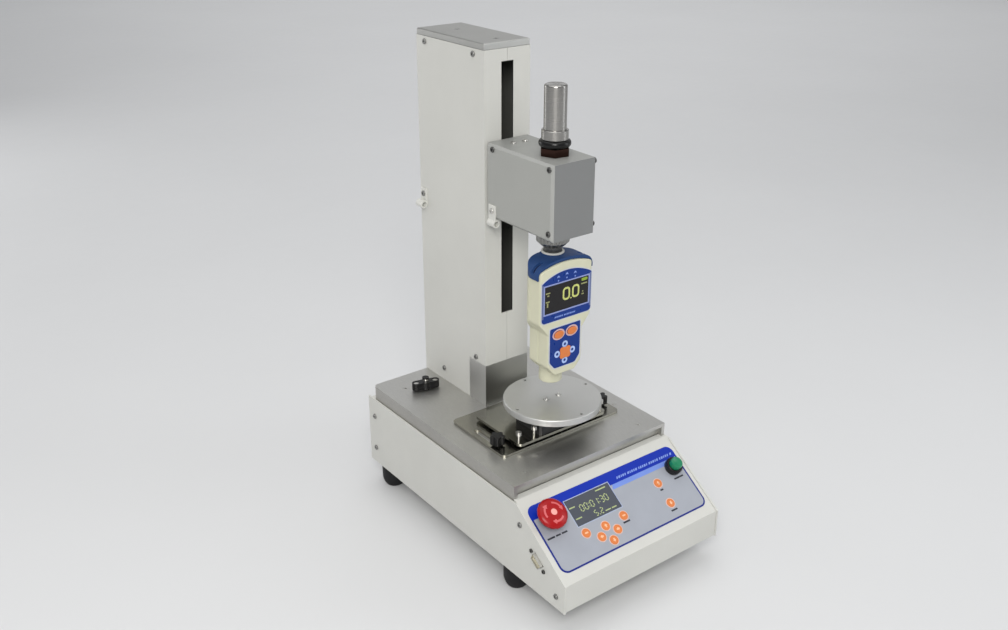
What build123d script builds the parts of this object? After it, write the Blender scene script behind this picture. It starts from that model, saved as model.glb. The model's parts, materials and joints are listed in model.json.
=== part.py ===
from build123d import *
import os
from math import cos, hypot, pi, radians, sin

os.makedirs("parts", exist_ok=True)

# Motorised durometer test stand, in millimetres. The origin is on the bench, under the middle of the
# case. +Z is up, -Y is the side with the control panel, and +X is on the right of someone at the panel.

# Fits
touch_gap = 0.1
slide_gap = 0.3
running_gap = 0.05
seat_gap = 0.2

# Case
case_width = 224.8
case_depth = 380.2
case_height = 88.8
side_sheet = 2.0
side_overlap = 0.9
side_proud = 1.0
shell_sheet = 1.5
lip_height = 33.7
slope_depth = 84.7
slope_step = 3.8
flange_reach = 8.0
rear_inset = 3.0
rear_flange = 16.0
foot_height = 30.0
foot_radius = 15.0
foot_sole_radius = 10.5
foot_shoulder = 13.5
foot_bulge = (13.7, 5.7)
foot_side_inset = 17.4
foot_front_inset = 101.1
foot_rear_inset = 25.1
foot_screw_depth = 8.0
post_radius = 6.0
post_side_inset = 29.4
post_front_inset = 104.1
post_rear_inset = 40.1
block_size = 12.0
block_depth = 6.0
side_screw_rear_inset = 13.6
side_screw_rear_rises = (66.0, 21.6)
side_screw_slope_inset = 74.5
side_screw_slope_rise = 68.2
side_screw_lip_inset = 13.8
side_screw_lip_rise = 14.6

# Base plate
plate_side_inset = 2.4
plate_front_inset = 88.1
plate_rear_inset = 9.2
plate_thickness = 17.9
plate_corner_radius = 6.0
recess_depth = 5.5
recess_lip = 4.0
recess_leg = 4.5
edge_screw_side_inset = 20.9
edge_screw_y = -34.0

# Screws
screw_head_radius = 3.2
screw_head_height = 1.7
screw_shank_radius = 2.0
screw_length = 9.0
screw_tip = 1.0
screw_rounding = 1.0
hex_radius = 1.5
hex_depth = 1.0
flush_head_radius = 3.6
flush_head_height = 3.0

# Control panel. Places are given across the slope and down from its top edge.
label_thickness = 0.5
label_side_inset = 6.9
label_top = 12.0
label_bottom = 91.3
label_corner = 9.0
window_left = -60.0
window_right = 2.5
window_top = 22.5
window_bottom = 53.0
window_border = 3.0
module_depth = 9.0
key_radius = 5.0
key_height = 0.9
key_travel = 0.4
key_stem_radius = 2.0
key_stem_reach = 7.7
key_rounding = 0.5
board_depth = 14.0
board_thickness = 1.6
board_half_width = 72.0
board_top = 14.0
board_bottom = 94.0
board_post_radius = 2.5
switch_size = 6.0
arrows_x = -29.8
arrows_down = 72.9
arrows_pitch_x = 11.4
arrows_pitch_down = 8.6
set_key_x = -55.7
set_key_down = 62.4
mode_key_x = -2.6
mode_key_down = 62.7
jog_key_x = 61.2
jog_up_down = 46.7
jog_down_down = 72.4

# Emergency stop
estop_side_inset = 24.8
estop_down = 31.7
estop_collar_radius = 9.8
estop_collar_height = 4.0
estop_barrel_radius = 8.0
estop_block_size = 20.0
estop_block_depth = 30.0
estop_barrel_depth = 8.0
estop_stem_radius = 5.0
estop_head_radius = 17.0
estop_head_rim = 14.0
estop_rim_height = 3.0
estop_rim_taper = 3.0
estop_crown_radius = 7.6
estop_crown_bulge = 1.6
estop_stem_root = 10.0
estop_stem_cover = 4.0
estop_head_top = 18.0
estop_travel = 4.0

# Start button
start_side_inset = 21.8
start_down = 37.4
start_bezel_radius = 9.7
start_bezel_height = 8.0
start_barrel_radius = 8.0
start_barrel_depth = 22.0
start_cap_radius = 7.1
start_cap_top = 14.0
start_travel = 3.0
start_stem_radius = 3.0
start_stem_length = 17.7
start_floor = 1.0
start_rounding = 1.0
bezel_chamfer = 0.8

# Serial connector, parallel to the slope on the left side plate
serial_front_inset = 44.4
serial_z = 70.4
serial_screw_pitch = 25.0
serial_length = 16.9
serial_width = 8.4
serial_slant = 1.5
serial_flange_length = 30.8
serial_flange_width = 12.5
serial_proud = 3.4
serial_body_depth = 8.0
serial_flange = 1.0
serial_pin_pitch = 2.77
serial_pin_radius = 0.6
serial_pin_depth = 2.5
jack_radius = 2.4
jack_height = 1.6
jack_shank_radius = 1.9
jack_bore_radius = 1.2
jack_bore_depth = 1.0

# Mains inlet with its switch, on the rear panel
inlet_x = -50.0
inlet_z = 75.0
inlet_flange_width = 58.0
inlet_flange_height = 27.0
inlet_flange = 2.5
inlet_body_width = 53.0
inlet_body_height = 23.0
inlet_depth = 22.0
socket_width = 24.5
socket_height = 16.5
socket_depth = 16.0
socket_offset = -12.0
pin_length = 10.5
pin_pitch = 7.0
pin_width = 2.0
pin_height = 4.0
earth_pin_z = 3.5
line_pin_z = -2.5
rocker_offset = 15.0
rocker_width = 12.6
rocker_height = 17.0
rocker_depth = 6.0
rocker_tilt = 9.0
rocker_pin_radius = 1.5
rocker_gap = 0.6
rocker_pin_grip = 1.5
rocker_sink = 0.4
rocker_dip = 1.0
rocker_tail = 2.0

# Power supply, in the case
supply_width = 52.0
supply_length = 98.0
supply_height = 38.0
supply_side_inset = 40.4
supply_y = 40.0

# Column
column_width = 61.8
column_front_y = 54.6
column_rear_y = 182.5
column_height = 425.6
cover_sheet = 1.5
cap_thickness = 7.0
cap_inset = 0.5
cap_chamfer = 1.0
seam_gap = 0.4
slot_width = 16.0
slot_low = 114.7
slot_high = 404.9
foot_block_depth = 32.6
foot_block_height = 52.7
foot_block_riser = 15.6
spine_y = 150.0
spine_thickness = 12.0
spine_foot_depth = 22.0
spine_foot_height = 23.3
top_block_height = 12.0
column_screw_low_rear = (141.0, 16.1)
column_screw_low_front = (73.5, 58.2)
column_screw_top_front_y = 73.7
column_screw_top_rear_y = 165.8
column_bolt_inset = 9.0
cap_screw_front = 20.0
cap_screw_rear = 35.5

# Lift drive
rail_width = 15.0
rail_height = 12.5
rail_low = 63.0
carriage_width = 34.0
carriage_reach = 20.8
carriage_rear_gap = 4.0
carriage_height = 56.0
screw_y = 105.0
lead_screw_radius = 5.0
bearing_radius = 11.0
bearing_height = 8.0
bearing_inset = 2.0
motor_size = 42.3
motor_length = 40.0
motor_gap = 30.0
motor_bolt_pitch = 31.0
motor_post_radius = 4.0
motor_shaft_radius = 2.5
motor_shaft_length = 14.0
motor_shaft_seat = 19.0
motor_chamfer = 4.0
coupling_radius = 9.5
coupling_length = 25.0
coupling_gap = 1.0
nut_radius = 8.0
nut_flange_radius = 12.0
nut_flange_height = 8.0

limit_x = 19.0
limit_width = 8.0
limit_depth = 8.0
limit_height = 20.0
limit_reach = 10.0

# Arm
arm_width = 59.2
arm_front_y = -59.0
arm_rear_y = 53.3
arm_height = 82.2
arm_cover = 3.6
arm_chamfer = 2.8
arm_wall = 8.0
arm_screw_depth = 6.0
arm_boss = 16.0
arm_screw_front = 5.1
arm_screw_rear = 12.0
arm_screw_low = 8.8
arm_screw_high = 5.0
arm_top_screw_x = 8.0
arm_top_screw_y = 33.0
neck_width = 13.0
neck_inset = 9.0
nut_block_width = 40.0
nut_block_front_y = 92.0
nut_block_inset = 11.0

# Spindle
spindle_y = -26.0
spindle_radius = 7.0
bush_radius = 10.0
bush_flange_width = 28.8
bush_flange_turn = -8.0
bush_flange_height = 8.6
bush_length = 26.0
housing_radius = 16.0
bumper_radius = 17.0
bumper_height = 7.8
bumper_rounding = 3.5
collar_radius = 14.2
collar_height = 10.5
weight_radius = 12.0
weight_height = 46.1
weight_rounding = 2.0
weight_cover = 20.0
collar_chamfer = 0.8
lock_nut_radius = 18.0
lock_nut_height = 13.0
lock_nut_drop = 4.0
lock_nut_chamfer = 1.5
lock_nut_cone = 5.5
grip_notches = 24
grip_notch_radius = 1.2
grip_notch_depth = 0.7
neck_ring_radius = 10.0
neck_ring_height = 4.2
washer_radius = 12.6
washer_height = 3.9
stud_depth = 14.0

# Durometer. Heights are taken down from the crown of its outline.
duro_front_reach = 24.5
duro_back_reach = 9.5
duro_split_reach = 7.0
duro_wall = 2.0
duro_top_half_width = 36.0
duro_low_half_width = 24.2
duro_cap_line = 18.5
duro_arch_top = 3.6
duro_arch_side = 10.5
duro_arch_corner = 5.0
duro_arch_depth = 6.0
cap_overhang = 2.4
cap_back_radius = 22.0
cap_shoulder = 5.8
cap_corner = 9.0
duro_waist_top = 69.7
duro_waist_low = 86.0
duro_chin = 123.0
duro_bottom = 134.5
duro_chin_half_width = 13.0
duro_top_back_radius = 18.0
duro_low_back_radius = 3.0
duro_front_radius = 3.0
face_sheet = 0.5
face_half_width = 34.5
face_bottom = 68.2
face_side = 22.2
face_corner = 1.5
face_top = 12.5
screen_width = 61.0
screen_top = 26.2
screen_bottom = 57.8
battery_width = 28.0
keypad_shift = -1.0
keypad_half_width = 21.3
keypad_top = 77.7
keypad_bottom = 125.6
keypad_corner = 8.0
oval_length = 14.0
oval_height = 9.5
oval_pitch = 18.5
oval_drop = 85.7
round_key_radius = 7.0
round_key_drop = 109.3
duro_key_thickness = 1.2
duro_key_lift = 0.6
duro_key_travel = 0.5
duro_key_stem = 2.5
duro_board_reach = 16.0
duro_board_thickness = 1.6
nose_radius = 13.0
nose_length = 17.5
nose_root = 8.0
nose_step = 4.0
nose_bore = 6.0
presser_radius = 9.0
presser_thickness = 3.0
indenter_tip_radius = 0.9
indenter_radius = 2.5
indenter_reach = 2.5
indenter_flange_radius = 5.0
indenter_flange = 2.0
indenter_flange_lift = 2.0
indenter_guide = 4.0
indenter_tail = 2.0
spring_radius = 4.4
spring_wire = 0.4
spring_turns = 6

# Stage
stage_half_width = 85.5
stage_front_y = -51.7
stage_rear_y = 47.3
stage_sheet = 3.0
stage_corner = 6.0
stage_air = 3.5
stage_travel = 38.0
upper_half_width = 64.1
upper_front_y = -52.4
upper_rear_y = 32.0
spacer_x = 52.0
spacer_radius = 4.0
spacer_front_y = -40.0
spacer_rear_y = 20.0
slot_x = 76.0
knob_y = -28.0
knob_radius = 8.5
knob_height = 12.0
knob_lobes = 5
knob_lobe_radius = 2.6
knob_collar_radius = 5.1
knob_collar_height = 2.0
knob_stud_radius = 3.0
knob_stud_depth = 12.0
standing_outer_x = 60.0
standing_inner_x = 38.4
standing_y = -45.7
standing_height = 12.5
standing_head_radius = 3.3
standing_head_height = 4.2
standing_shank_radius = 1.5

# Table
table_y = -30.4
table_radius = 55.7
table_thickness = 8.0
table_height = 22.1
specimen_gap = 22.1
table_chamfer = 0.8
table_hole_circle = 50.0
table_hole_radius = 1.6
table_screw_x = 9.0
table_screw_radius = 3.4
table_screw_proud = 1.2
table_motor_chamfer = 2.0
table_motor_half_width = 33.0
table_motor_front = 20.0
table_motor_rear = 26.0
table_motor_height = 17.3
hub_radius = 14.0
hub_height = 4.5
table_shaft_radius = 4.0
table_shaft_length = 12.0

# Rear knob
rear_knob_x = -63.3
rear_knob_y = 134.9
rear_knob_angle = -14.0
rear_knob_hub = 6.6
rear_knob_lobe = 5.2
rear_knob_reach = 12.0
rear_knob_height = 9.0
rear_knob_lift = 1.5
rear_knob_insert = 3.4
rear_knob_well = 0.8
rear_knob_post_radius = 3.6
rear_knob_post_height = 3.4
rear_knob_cap_radius = 4.1
rear_knob_cap_height = 2.0

# Cable clips
clip_bore = 3.0
clip_wall = 1.6
clip_length = 12.0
clip_tab = 13.0
clip_drop = 12.0
arm_clip_drop = 14.3
arm_clip_proud = 4.0
column_clip_back = 8.0
column_clip_height = 234.0

# Levels and faces worked out from the sizes above
case_bottom = foot_height
plate_bottom = case_bottom + case_height
plate_top = plate_bottom + plate_thickness
case_half = case_width / 2
front_y = -case_depth / 2
rear_y = case_depth / 2
plate_width = case_width - 2 * plate_side_inset
plate_front_y = front_y + plate_front_inset
plate_rear_y = rear_y - plate_rear_inset
foot_x = case_half - foot_side_inset
foot_front_y = front_y + foot_front_inset
foot_rear_y = rear_y - foot_rear_inset
post_x = case_half - post_side_inset
post_front_y = front_y + post_front_inset
post_rear_y = rear_y - post_rear_inset
edge_screw_x = case_half - edge_screw_side_inset
label_half_width = case_half - label_side_inset
estop_x = estop_side_inset - case_half
start_x = case_half - start_side_inset
serial_y = front_y + serial_front_inset
supply_x = supply_side_inset - case_half
side_screw_spots = [(rear_y - side_screw_rear_inset, case_bottom + rise) for rise in side_screw_rear_rises]
side_screw_spots += [
    (front_y + side_screw_slope_inset, case_bottom + side_screw_slope_rise),
    (front_y + side_screw_lip_inset, case_bottom + side_screw_lip_rise),
]
side_inner = case_width / 2 - side_sheet
shell_half = side_inner - touch_gap
side_top = plate_bottom + side_overlap
slope_foot = (front_y, case_bottom + lip_height)
slope_head = (front_y + slope_depth, plate_bottom + slope_step)
slope_length = hypot(slope_head[0] - slope_foot[0], slope_head[1] - slope_foot[1])
slope_cos = slope_depth / slope_length
slope_sin = (slope_head[1] - slope_foot[1]) / slope_length
floor_low = case_bottom + side_proud
floor_top = floor_low + shell_sheet
rear_face = rear_y - rear_inset
column_half = column_width / 2
column_inner = column_half - cover_sheet - seat_gap
column_top = plate_top + column_height
column_clip_y = column_rear_y - column_clip_back
column_clip_z = plate_top + column_clip_height
cap_bottom = column_top - cap_thickness
top_block_bottom = cap_bottom - top_block_height
stage_low = plate_top + touch_gap
stage_top = stage_low + stage_sheet
upper_low = stage_top + stage_air
upper_top = upper_low + stage_sheet
table_low = upper_top + table_height
table_top = table_low + table_thickness
nose_low = table_top + specimen_gap
indenter_low = nose_low - indenter_reach
duro_low = nose_low + nose_length
duro_top = duro_low + duro_bottom
washer_low = duro_top
neck_ring_low = washer_low + washer_height
lock_nut_low = neck_ring_low + neck_ring_height + touch_gap
lock_nut_top = lock_nut_low + lock_nut_height
arm_bottom = lock_nut_top + lock_nut_drop
arm_top = arm_bottom + arm_height
arm_mid = (arm_bottom + arm_top) / 2
bush_top = arm_top + bush_flange_height
bumper_low = bush_top + seat_gap
collar_low = bumper_low + bumper_height
weight_low = collar_low + collar_height
weight_top = weight_low + weight_height
duro_front = spindle_y - duro_front_reach
duro_back = spindle_y + duro_back_reach
duro_split = spindle_y - duro_split_reach
head_hollow_half = duro_top_half_width - duro_wall - duro_top_back_radius / 3
grip_hollow_half = duro_low_half_width - duro_wall - duro_low_back_radius / 3
arm_down_travel = indenter_low - table_top - seat_gap
arm_up_travel = slot_high + plate_top - (arm_top - neck_inset) - slide_gap


def block(x, y, z):
    """A box from its (low, high) pairs."""
    size = [high - low for low, high in (x, y, z)]
    middle = [(high + low) / 2 for low, high in (x, y, z)]
    return Pos(*middle) * Box(*size)


def rod(radius, low, high, x=0.0, y=0.0):
    """An upright cylinder."""
    up = (Align.CENTER, Align.CENTER, Align.MIN)
    return Pos(x, y, low) * Cylinder(radius, high - low, align=up)


def tube(outer, inner, low, high, x=0.0, y=0.0):
    """An upright ring."""
    return rod(outer, low, high, x, y) - rod(inner, low, high, x, y)


def rod_x(radius, low, high, y, z):
    """A cylinder along X."""
    return Pos(low, y, z) * Rot(0, 90, 0) * rod(radius, 0, high - low)


def rod_y(radius, low, high, x, z):
    """A cylinder along Y."""
    return Pos(x, low, z) * Rot(-90, 0, 0) * rod(radius, 0, high - low)


def prism_x(points, low, high):
    """A closed outline in Y and Z, drawn out along X."""
    face = Plane.YZ.offset(low) * make_face(Polyline(*points, close=True))
    return extrude(face, high - low, dir=(1, 0, 0))


def rounded_plate(x, y, z, radius):
    """A plate with rounded upright corners."""
    size = [high - low for low, high in (x, y)]
    middle = [(high + low) / 2 for low, high in (x, y)]
    face = RectangleRounded(*size, radius)
    return Pos(*middle, z[0]) * extrude(face, z[1] - z[0], dir=(0, 0, 1))


def group(*pieces):
    """Separate solids in one compound."""
    return Compound([solid for piece in pieces for solid in piece.solids()])


def offset_path(points, distance):
    """An open line moved to its right by a distance, with mitred corners."""
    lines = []
    for (y0, z0), (y1, z1) in zip(points, points[1:]):
        length = hypot(y1 - y0, z1 - z0)
        side = ((z1 - z0) / length * distance, -(y1 - y0) / length * distance)
        lines.append(((y0 + side[0], z0 + side[1]), ((y1 - y0) / length, (z1 - z0) / length)))
    moved = [lines[0][0]]
    for (a, d), (b, e) in zip(lines, lines[1:]):
        along = ((b[0] - a[0]) * e[1] - (b[1] - a[1]) * e[0]) / (d[0] * e[1] - d[1] * e[0])
        moved.append((a[0] + d[0] * along, a[1] + d[1] * along))
    y1, z1 = points[-1]
    _, (dy, dz) = lines[-1]
    moved.append((y1 + dz * distance, z1 - dy * distance))
    return moved


# The panel's own frame: X across, Y up the slope, Z out of the folded sheet.
panel_normal = (0, -slope_sin, slope_cos)
panel = Plane(
    origin=(0, slope_head[0] + slope_sin * side_proud, slope_head[1] - slope_cos * side_proud),
    x_dir=(1, 0, 0),
    z_dir=panel_normal,
).location


def on_panel(x, down, shape):
    """A shape made at the origin, moved to its place on the panel."""
    return panel * Pos(x, -down, 0) * shape


def hex_socket(top):
    """The hexagonal pocket for a key, open at the given height."""
    pocket = extrude(RegularPolygon(hex_radius, 6), 2 * hex_depth, dir=(0, 0, 1))
    return Pos(0, 0, top - hex_depth) * pocket


def button_screw(length=screw_length):
    """A button-head screw with its seat at the origin, pointing down."""
    head = rod(screw_head_radius, 0, screw_head_height)
    head = fillet(head.edges().group_by(Axis.Z)[-1], screw_rounding)
    shank = rod(screw_shank_radius, -length, 0)
    return head + shank - hex_socket(screw_head_height)


def flush_screw(length=screw_length):
    """A countersunk screw with its top face at the origin, pointing down."""
    head = rod(flush_head_radius, -flush_head_height, 0)
    shank = rod(screw_shank_radius, -flush_head_height - length, -flush_head_height)
    return head + shank - hex_socket(0)


def screw_hole(length=screw_length):
    """The hole for a button-head screw's shank."""
    return rod(screw_shank_radius + touch_gap, -length - touch_gap, touch_gap)


def flush_hole(length=screw_length):
    """The hole for a countersunk screw."""
    low = -flush_head_height - touch_gap
    head = rod(flush_head_radius + touch_gap, low, 1)
    return head + rod(screw_shank_radius + touch_gap, low - length, low)


def side_screw():
    """A screw through a side plate and the block behind it."""
    return button_screw(side_sheet + block_depth)


def side_hole():
    return screw_hole(side_sheet + block_depth)


def side_spots(make):
    """Puts what a function makes at each side screw, pointing into the case."""
    for sign in (-1, 1):
        turn = Rot(0, 90 * sign, 0)
        for y, z in side_screw_spots:
            yield Pos(sign * case_width / 2, y, z) * turn * make()


def side_screw_holes():
    return list(side_spots(side_hole))


def make_side_plates():
    """Left and right side plates, standing a little proud of the folded sheet."""
    slope_y = slope_head[0] - (slope_head[1] - side_top) * slope_cos / slope_sin
    outline = [
        (rear_y, case_bottom),
        (rear_y, side_top),
        (slope_y, side_top),
        slope_foot,
        (front_y, case_bottom),
    ]
    left = prism_x(outline, -case_width / 2, -side_inner)
    right = prism_x(outline, side_inner, case_width / 2)
    left -= serial_place(serial_opening())
    return group(left - side_screw_holes(), right - side_screw_holes())


def make_front_panel():
    """Folded sheet: front lip, slope and a flange that reaches under the base plate's edge."""
    flange_end = slope_head[0] + flange_reach
    path = [(front_y, case_bottom + side_proud), slope_foot, slope_head, (flange_end, slope_head[1])]
    outer = offset_path(path, side_proud)
    inner = offset_path(path, side_proud + shell_sheet)
    sheet = prism_x(outer + inner[::-1], -shell_half, shell_half)
    leg_inner = plate_width / 2 - recess_leg - slide_gap
    for sign in (-1, 1):
        ends = sorted((sign * leg_inner, sign * case_width))
        sheet -= block(ends, (plate_front_y - slide_gap, flange_end + 1), (plate_bottom - 5, plate_top))
    through = (-shell_sheet - 1, 1)
    sheet -= on_panel(*window_middle, block(window_span(touch_gap), window_rise(touch_gap), through))
    for x, down in key_places.values():
        sheet -= on_panel(x, down, rod(key_stem_radius + slide_gap, *through))
    sheet -= on_panel(estop_x, estop_down, rod(estop_barrel_radius + touch_gap, *through))
    sheet -= on_panel(start_x, start_down, rod(start_barrel_radius + touch_gap, *through))
    return sheet


window_middle = ((window_left + window_right) / 2, (window_top + window_bottom) / 2)


def window_span(gap):
    half = (window_right - window_left) / 2 + gap
    return (-half, half)


def window_rise(gap):
    half = (window_bottom - window_top) / 2 + gap
    return (-half, half)


key_places = {
    "set_key": (set_key_x, set_key_down),
    "arrow_up_key": (arrows_x, arrows_down - arrows_pitch_down),
    "arrow_down_key": (arrows_x, arrows_down + arrows_pitch_down),
    "arrow_left_key": (arrows_x - arrows_pitch_x, arrows_down),
    "arrow_right_key": (arrows_x + arrows_pitch_x, arrows_down),
    "mode_key": (mode_key_x, mode_key_down),
    "jog_up_key": (jog_key_x, jog_up_down),
    "jog_down_key": (jog_key_x, jog_down_down),
}


def make_case_sheets():
    """Bottom plate and rear panel, with the rear panel's flange under the base plate."""
    bottom_front = front_y + side_proud + shell_sheet + touch_gap
    wall_inner = rear_face - shell_sheet
    bottom = block((-shell_half, shell_half), (bottom_front, wall_inner - touch_gap), (floor_low, floor_top))
    for x, y in post_spots() + foot_spots():
        bottom -= rod(screw_shank_radius + touch_gap, floor_low - 1, floor_top + 1, x, y)
    wall_top = plate_bottom - touch_gap
    wall = block((-shell_half, shell_half), (wall_inner, rear_face), (floor_low, wall_top))
    wall += block(
        (-shell_half, shell_half),
        (rear_face - rear_flange, rear_face),
        (wall_top - shell_sheet, wall_top),
    )
    half_width = inlet_body_width / 2 + touch_gap
    half_height = inlet_body_height / 2 + touch_gap
    wall -= block(
        (inlet_x - half_width, inlet_x + half_width),
        (wall_inner - 1, rear_face + 1),
        (inlet_z - half_height, inlet_z + half_height),
    )
    return group(bottom, wall)


def post_spots():
    return [(sign * post_x, y) for sign in (-1, 1) for y in (post_front_y, post_rear_y)]


def foot_spots():
    return [(sign * foot_x, y) for sign in (-1, 1) for y in (foot_front_y, foot_rear_y)]


def column_floor_spots():
    """Screws from under the base plate into the column frame."""
    front = (column_front_y + column_front_y + foot_block_depth) / 2
    rear = spine_y + spine_thickness / 2
    across = column_inner - column_bolt_inset
    return [(sign * across, y) for sign in (-1, 1) for y in (front, rear)]


def motor_spots():
    half = motor_bolt_pitch / 2
    return [(x, screw_y + y) for x in (-half, half) for y in (-half, half)]


def make_base_plate():
    """Thick plate with a front edge undercut between two legs."""
    half = plate_width / 2
    plate = block((-half, half), (plate_front_y, plate_rear_y), (plate_bottom, plate_top))
    rear_edges = plate.edges().filter_by(Axis.Z).group_by(Axis.Y)[-1]
    plate = fillet(rear_edges, plate_corner_radius)
    plate -= block(
        (-half + recess_leg, half - recess_leg),
        (plate_front_y - 1, plate_front_y + recess_depth),
        (plate_bottom - 1, plate_top - recess_lip),
    )
    plate -= rod(bearing_radius + running_gap, plate_bottom - 1, plate_top + 1, 0, screw_y)
    for x, y in flush_spots():
        plate -= Pos(x, y, plate_top - touch_gap) * flush_hole()
    stud_low = plate_top - knob_stud_depth - touch_gap
    for x, y in knob_spots():
        plate -= rod(knob_stud_radius + running_gap, stud_low, plate_top + 1, x, y)
    for x, y in column_floor_spots():
        low = Pos(x, y, plate_bottom) * Rot(180, 0, 0)
        plate -= low * screw_hole(plate_thickness)
    return plate


def flush_spots():
    """Countersunk screws in the top of the base plate."""
    spots = post_spots()
    return spots + [(sign * edge_screw_x, edge_screw_y) for sign in (-1, 1)]


def knob_spots():
    return [(-slot_x, knob_y), (slot_x, knob_y), (rear_knob_x, rear_knob_y)]


def make_feet():
    """Rubber feet: a rounded cone on a short drum, with a screw well."""
    feet = []
    for x, y in foot_spots():
        outline = [
            Line((0, 0), (foot_sole_radius, 0)),
            ThreePointArc((foot_sole_radius, 0), foot_bulge, (foot_radius, foot_shoulder)),
            Line((foot_radius, foot_shoulder), (foot_radius, floor_low)),
            Line((foot_radius, floor_low), (0, floor_low)),
            Line((0, floor_low), (0, 0)),
        ]
        drum = revolve(Plane.XZ * make_face(outline), Axis.Z)
        well = rod(screw_head_radius + touch_gap, -1, foot_height - foot_screw_depth)
        shaft = rod(screw_shank_radius + touch_gap, -1, floor_low + 1)
        feet.append(Pos(x, y, 0) * (drum - well - shaft))
    return group(*feet)


def make_posts():
    """Posts under the base plate, blocks behind the side screws and posts for the motor."""
    posts = []
    for x, y in post_spots():
        post = rod(post_radius, floor_top, plate_bottom, x, y)
        post -= rod(screw_shank_radius + touch_gap, floor_top - 1, plate_bottom + 1, x, y)
        posts.append(post)
    holes = side_screw_holes()
    half = block_size / 2
    for sign in (-1, 1):
        across = sorted((sign * side_inner, sign * (side_inner - block_depth)))
        for y, z in side_screw_spots:
            posts.append(block(across, (y - half, y + half), (z - half, z + half)) - holes)
    for x, y in motor_spots():
        posts.append(rod(motor_post_radius, plate_bottom - motor_gap, plate_bottom, x, y))
    return group(*posts)


def make_stand_screws():
    """Every screw that belongs to the case, the column and the feet."""
    screws = list(side_spots(side_screw))
    sunk = plate_top - touch_gap
    screws += [Pos(x, y, sunk) * flush_screw() for x, y in flush_spots()]
    for x, y in foot_spots():
        low = foot_height - foot_screw_depth
        length = floor_top - low + screw_tip
        screws.append(Pos(x, y, low) * Rot(180, 0, 0) * button_screw(length))
    for x, y in column_floor_spots():
        screws.append(Pos(x, y, plate_bottom) * Rot(180, 0, 0) * button_screw(plate_thickness))
    screws += list(column_side_spots(button_screw))
    screws.append(column_clip_screw(button_screw))
    screws += [spot * flush_screw() for spot in cap_spots()]
    return group(*screws)


def cap_spots():
    """Screws in the cap, and the plug over the lead screw's end."""
    ys = (column_front_y + cap_screw_front, column_rear_y - cap_screw_rear)
    return [Pos(0, y, column_top - touch_gap) for y in ys]


def column_clip_screw(make):
    """Puts what a function makes at the screw of the clip on the column."""
    return Pos(-column_half - clip_wall, column_clip_y, column_clip_z) * Rot(0, -90, 0) * make()


def column_side_spots(make):
    """Puts what a function makes at the four screws of each column cover."""
    top = cap_bottom - top_block_height / 2
    low_front = plate_top + column_screw_low_front[1]
    spots = [
        (column_screw_top_rear_y, top),
        (column_screw_top_front_y, top),
        (column_screw_low_rear[0], plate_top + column_screw_low_rear[1]),
        (column_screw_low_front[0], low_front),
    ]
    for sign in (-1, 1):
        for y, z in spots:
            yield Pos(sign * column_half, y, z) * Rot(0, 90 * sign, 0) * make()


def make_panel_label():
    """Printed sheet with openings for the keys and the two buttons, and the display's pane."""
    width = 2 * label_half_width
    height = label_bottom - label_top
    face = RectangleRounded(width, height, label_corner)
    sheet = extrude(face, label_thickness, dir=(0, 0, 1))
    sheet = on_panel(0, (label_top + label_bottom) / 2, sheet)
    through = (-1, label_thickness + 1)
    sheet -= on_panel(*window_middle, block(window_span(0), window_rise(0), through))
    for x, down in key_places.values():
        sheet -= on_panel(x, down, rod(key_radius + seat_gap, *through))
    sheet -= on_panel(estop_x, estop_down, rod(estop_barrel_radius + touch_gap, *through))
    sheet -= on_panel(start_x, start_down, rod(start_barrel_radius + touch_gap, *through))
    pane = block(window_span(0), window_rise(0), (-shell_sheet, 0))
    return group(sheet, on_panel(*window_middle, pane))


def make_electronics():
    """Display module, board with its switches and posts, power supply, two limit switches."""
    module = block(
        window_span(window_border),
        window_rise(window_border),
        (-shell_sheet - module_depth, -shell_sheet),
    )
    top = -shell_sheet - board_depth
    board = block(
        (-board_half_width, board_half_width),
        (-board_bottom, -board_top),
        (top - board_thickness, top),
    )
    pieces = [on_panel(*window_middle, module), panel * board]
    inset = 2 * board_post_radius
    for x in (-board_half_width + inset, board_half_width - inset):
        for down in (board_top + inset, board_bottom - inset):
            pieces.append(on_panel(x, down, rod(board_post_radius, top, -shell_sheet)))
    half = switch_size / 2
    for x, down in key_places.values():
        switch = block((-half, half), (-half, half), (top, key_stem_end - key_travel - touch_gap))
        pieces.append(on_panel(x, down, switch))
    supply = block(
        (supply_x - supply_width / 2, supply_x + supply_width / 2),
        (supply_y - supply_length / 2, supply_y + supply_length / 2),
        (floor_top, floor_top + supply_height),
    )
    pieces.append(supply)
    rear = spine_y
    for z in (arm_mid - arm_down_travel - limit_reach, arm_mid + arm_up_travel - limit_reach):
        pieces.append(
            block(
                (limit_x, limit_x + limit_width),
                (rear - limit_depth, rear),
                (z, z + limit_height),
            )
        )
    return group(*pieces)


key_stem_end = -shell_sheet - key_stem_reach


def make_key():
    """Round key: a low disc in the label's opening, on a stem that reaches its switch."""
    low = label_thickness
    cap = rod(key_radius, low, low + key_height)
    cap = fillet(cap.edges().group_by(Axis.Z)[-1], key_rounding)
    return cap + rod(key_stem_radius, key_stem_end, low)


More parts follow.
